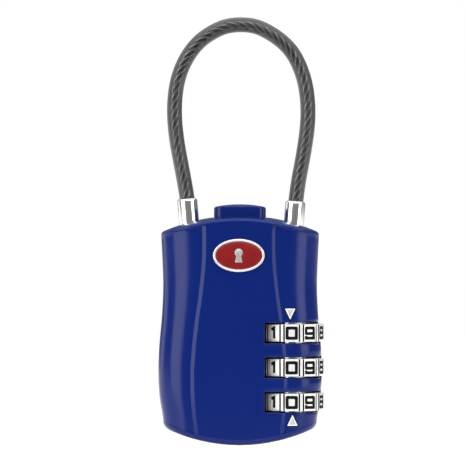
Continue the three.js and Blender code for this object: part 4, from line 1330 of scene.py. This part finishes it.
def build_key_cylinder():
    barrel = [(BARREL_BORE, BARREL_LOW), (BARREL_RADIUS, BARREL_LOW),
              (BARREL_RADIUS, BARREL_HIGH), (BARREL_BORE, BARREL_HIGH)]
    move = Matrix.Translation((KEY_X, 0, 0))
    sleeve = smooth_shading(lathe("barrel", barrel, 0.18, 96, move, closed=True), 40)
    finish_piece(sleeve, "case", ["key_brass"], ["key_barrel"])
    outline = [(0, BARREL_LOW + 0.1), (PLUG_RADIUS, BARREL_LOW + 0.1),
               (PLUG_RADIUS, BARREL_HIGH), (0, BARREL_HIGH)]
    plug = lathe("plug", outline, 0.15, 96, move)
    half_x, half_y = KEYWAY[0] / 2, KEYWAY[1] / 2
    cuts = [box_object("cutter", (KEY_X - half_x, -half_y, BELOW_CASE),
                       (KEY_X + half_x, half_y, BARREL_HIGH - KEYWAY_END))]
    wide, deep, tall = WAFER_ROOM
    cuts += [box_object("cutter", (KEY_X - wide, -deep, z - tall), (KEY_X + wide, deep, z + tall))
             for z in WAFER_Z]
    combine(plug, cuts)
    bevelled(plug, 0.06)
    finish_piece(plug, "key_cylinder", ["key_brass"], ["key_plug"])


def build_reset_pin():
    step, high = RESET_STEPS
    foot, head = RESET_RADII
    outline = [(0, RESET_LOW), (foot, RESET_LOW), (foot, step), (head, step), (head, high),
               (0, high)]
    pin = lathe("reset_button", outline, 0.12, 72, Matrix.Translation((DIAL_X, DIAL_Y, 0)))
    half_x, half_y = RESET_SLOT[0] / 2, RESET_SLOT[1] / 2
    slot = box_object("cutter", (DIAL_X - half_x, DIAL_Y - half_y, 2),
                      (DIAL_X + half_x, DIAL_Y + half_y, RESET_LOW + RESET_SLOT_DEPTH))
    combine(pin, [slot])
    smooth_shading(pin, 35)
    finish_piece(pin, "reset", ["steel"], ["reset_pin"])


def build_case_pins():
    front, seat, head = PIN_LEVELS
    outline = [(0, front), (PIN_RADIUS, front), (PIN_RADIUS, seat), (PIN_HEAD_RADIUS, seat),
               (PIN_HEAD_RADIUS, head), (0, head)]
    for number, (x, z) in enumerate(CASE_PINS, 1):
        matrix = Matrix.Translation((x, 0, z)) @ Matrix.Rotation(-math.pi / 2, 4, "X")
        pin = smooth_shading(lathe("pin", outline, 0.12, 64, matrix), 35)
        pin.name = f"case_rivet_{number}"
        finish_piece(pin, "case", ["pin_zinc"], [f"case_pin_{number}"])


build_key_cylinder()
build_reset_pin()
build_case_pins()

# ---- Stage and light ----------------------------------------------------------------------------

bpy.context.scene.view_settings.view_transform = "Standard"
WORLD_SEEN = 1.0
ROOM_UP = (0, -0.2, 0.98)
ROOM = (0.3, 0.8, 0.2, 1.6)
FLOOR_DROP = 0.008
FLOOR_FRONT = -0.1
FLOOR_BACK = 1.2
FLOOR_HALF = 0.8


def plain(name, colour, roughness=0.9):
    s = Shader(name)
    s.link(s.colours(s.noise(3, 2), tuple(0.985 * c for c in colour), colour),
           s.principled.inputs["Base Color"])
    s.set(Roughness=roughness, Specular_IOR_Level=0.1)
    return s.material


def add_stage():
    low = CASE_LOW - FLOOR_DROP
    mesh = bpy.data.meshes.new("floor")
    corners = [(-FLOOR_HALF, FLOOR_FRONT, low), (FLOOR_HALF, FLOOR_FRONT, low),
               (FLOOR_HALF, FLOOR_BACK, low), (-FLOOR_HALF, FLOOR_BACK, low)]
    mesh.from_pydata(corners, [], [(0, 1, 2, 3)])
    floor = add_object("floor", mesh)
    mesh.materials.append(plain("floor", (0.93, 0.93, 0.93)))


def add_world():
    """White where the camera looks past the piece; for light, bright above and dim around."""
    world = bpy.data.worlds.new("world")
    world.use_nodes = True
    tree = world.node_tree
    background = tree.nodes["Background"]
    background.inputs["Color"].default_value = (1, 1, 1, 1)
    ways = tree.nodes.new("ShaderNodeTexCoord")
    lift = tree.nodes.new("ShaderNodeVectorMath")
    lift.operation = "DOT_PRODUCT"
    lift.inputs[1].default_value = ROOM_UP
    room = tree.nodes.new("ShaderNodeMapRange")
    for name, value in zip(("From Min", "From Max", "To Min", "To Max"), ROOM):
        room.inputs[name].default_value = value
    path = tree.nodes.new("ShaderNodeLightPath")
    strength = tree.nodes.new("ShaderNodeMapRange")
    strength.inputs["To Max"].default_value = WORLD_SEEN
    tree.links.new(ways.outputs["Generated"], lift.inputs[0])
    tree.links.new(lift.outputs["Value"], room.inputs["Value"])
    tree.links.new(room.outputs["Result"], strength.inputs["To Min"])
    tree.links.new(path.outputs["Is Camera Ray"], strength.inputs["Value"])
    tree.links.new(strength.outputs["Result"], background.inputs["Strength"])
    bpy.context.scene.world = world


def add_light(name, turn, lift, reach, width, height, power):
    """An area light aimed at the case, turned from the front and lifted from the level."""
    data = bpy.data.lights.new(name, "AREA")
    data.shape = "RECTANGLE"
    data.size = width
    data.size_y = height
    data.energy = power
    light = add_object(name, data)
    turn, lift = math.radians(turn), math.radians(lift)
    way = Vector((math.sin(turn) * math.cos(lift), -math.cos(turn) * math.cos(lift),
                  math.sin(lift)))
    aim = Vector((0, 0, CASE_LOW + 0.03))
    light.location = aim + way * reach
    light.rotation_euler = (-way).to_track_quat("-Z", "Y").to_euler()


add_stage()
add_world()
add_light("left_softbox", -52, 8, 0.7, 0.46, 0.7, 3.2)
add_light("left_back_softbox", -118, 8, 0.7, 0.30, 0.7, 0.8)
add_light("right_softbox", 60, 8, 0.7, 0.34, 0.7, 2.2)
add_light("rim_strip", 0, 56, 0.7, 0.8, 0.1, 1.4)

bpy.context.view_layer.update()
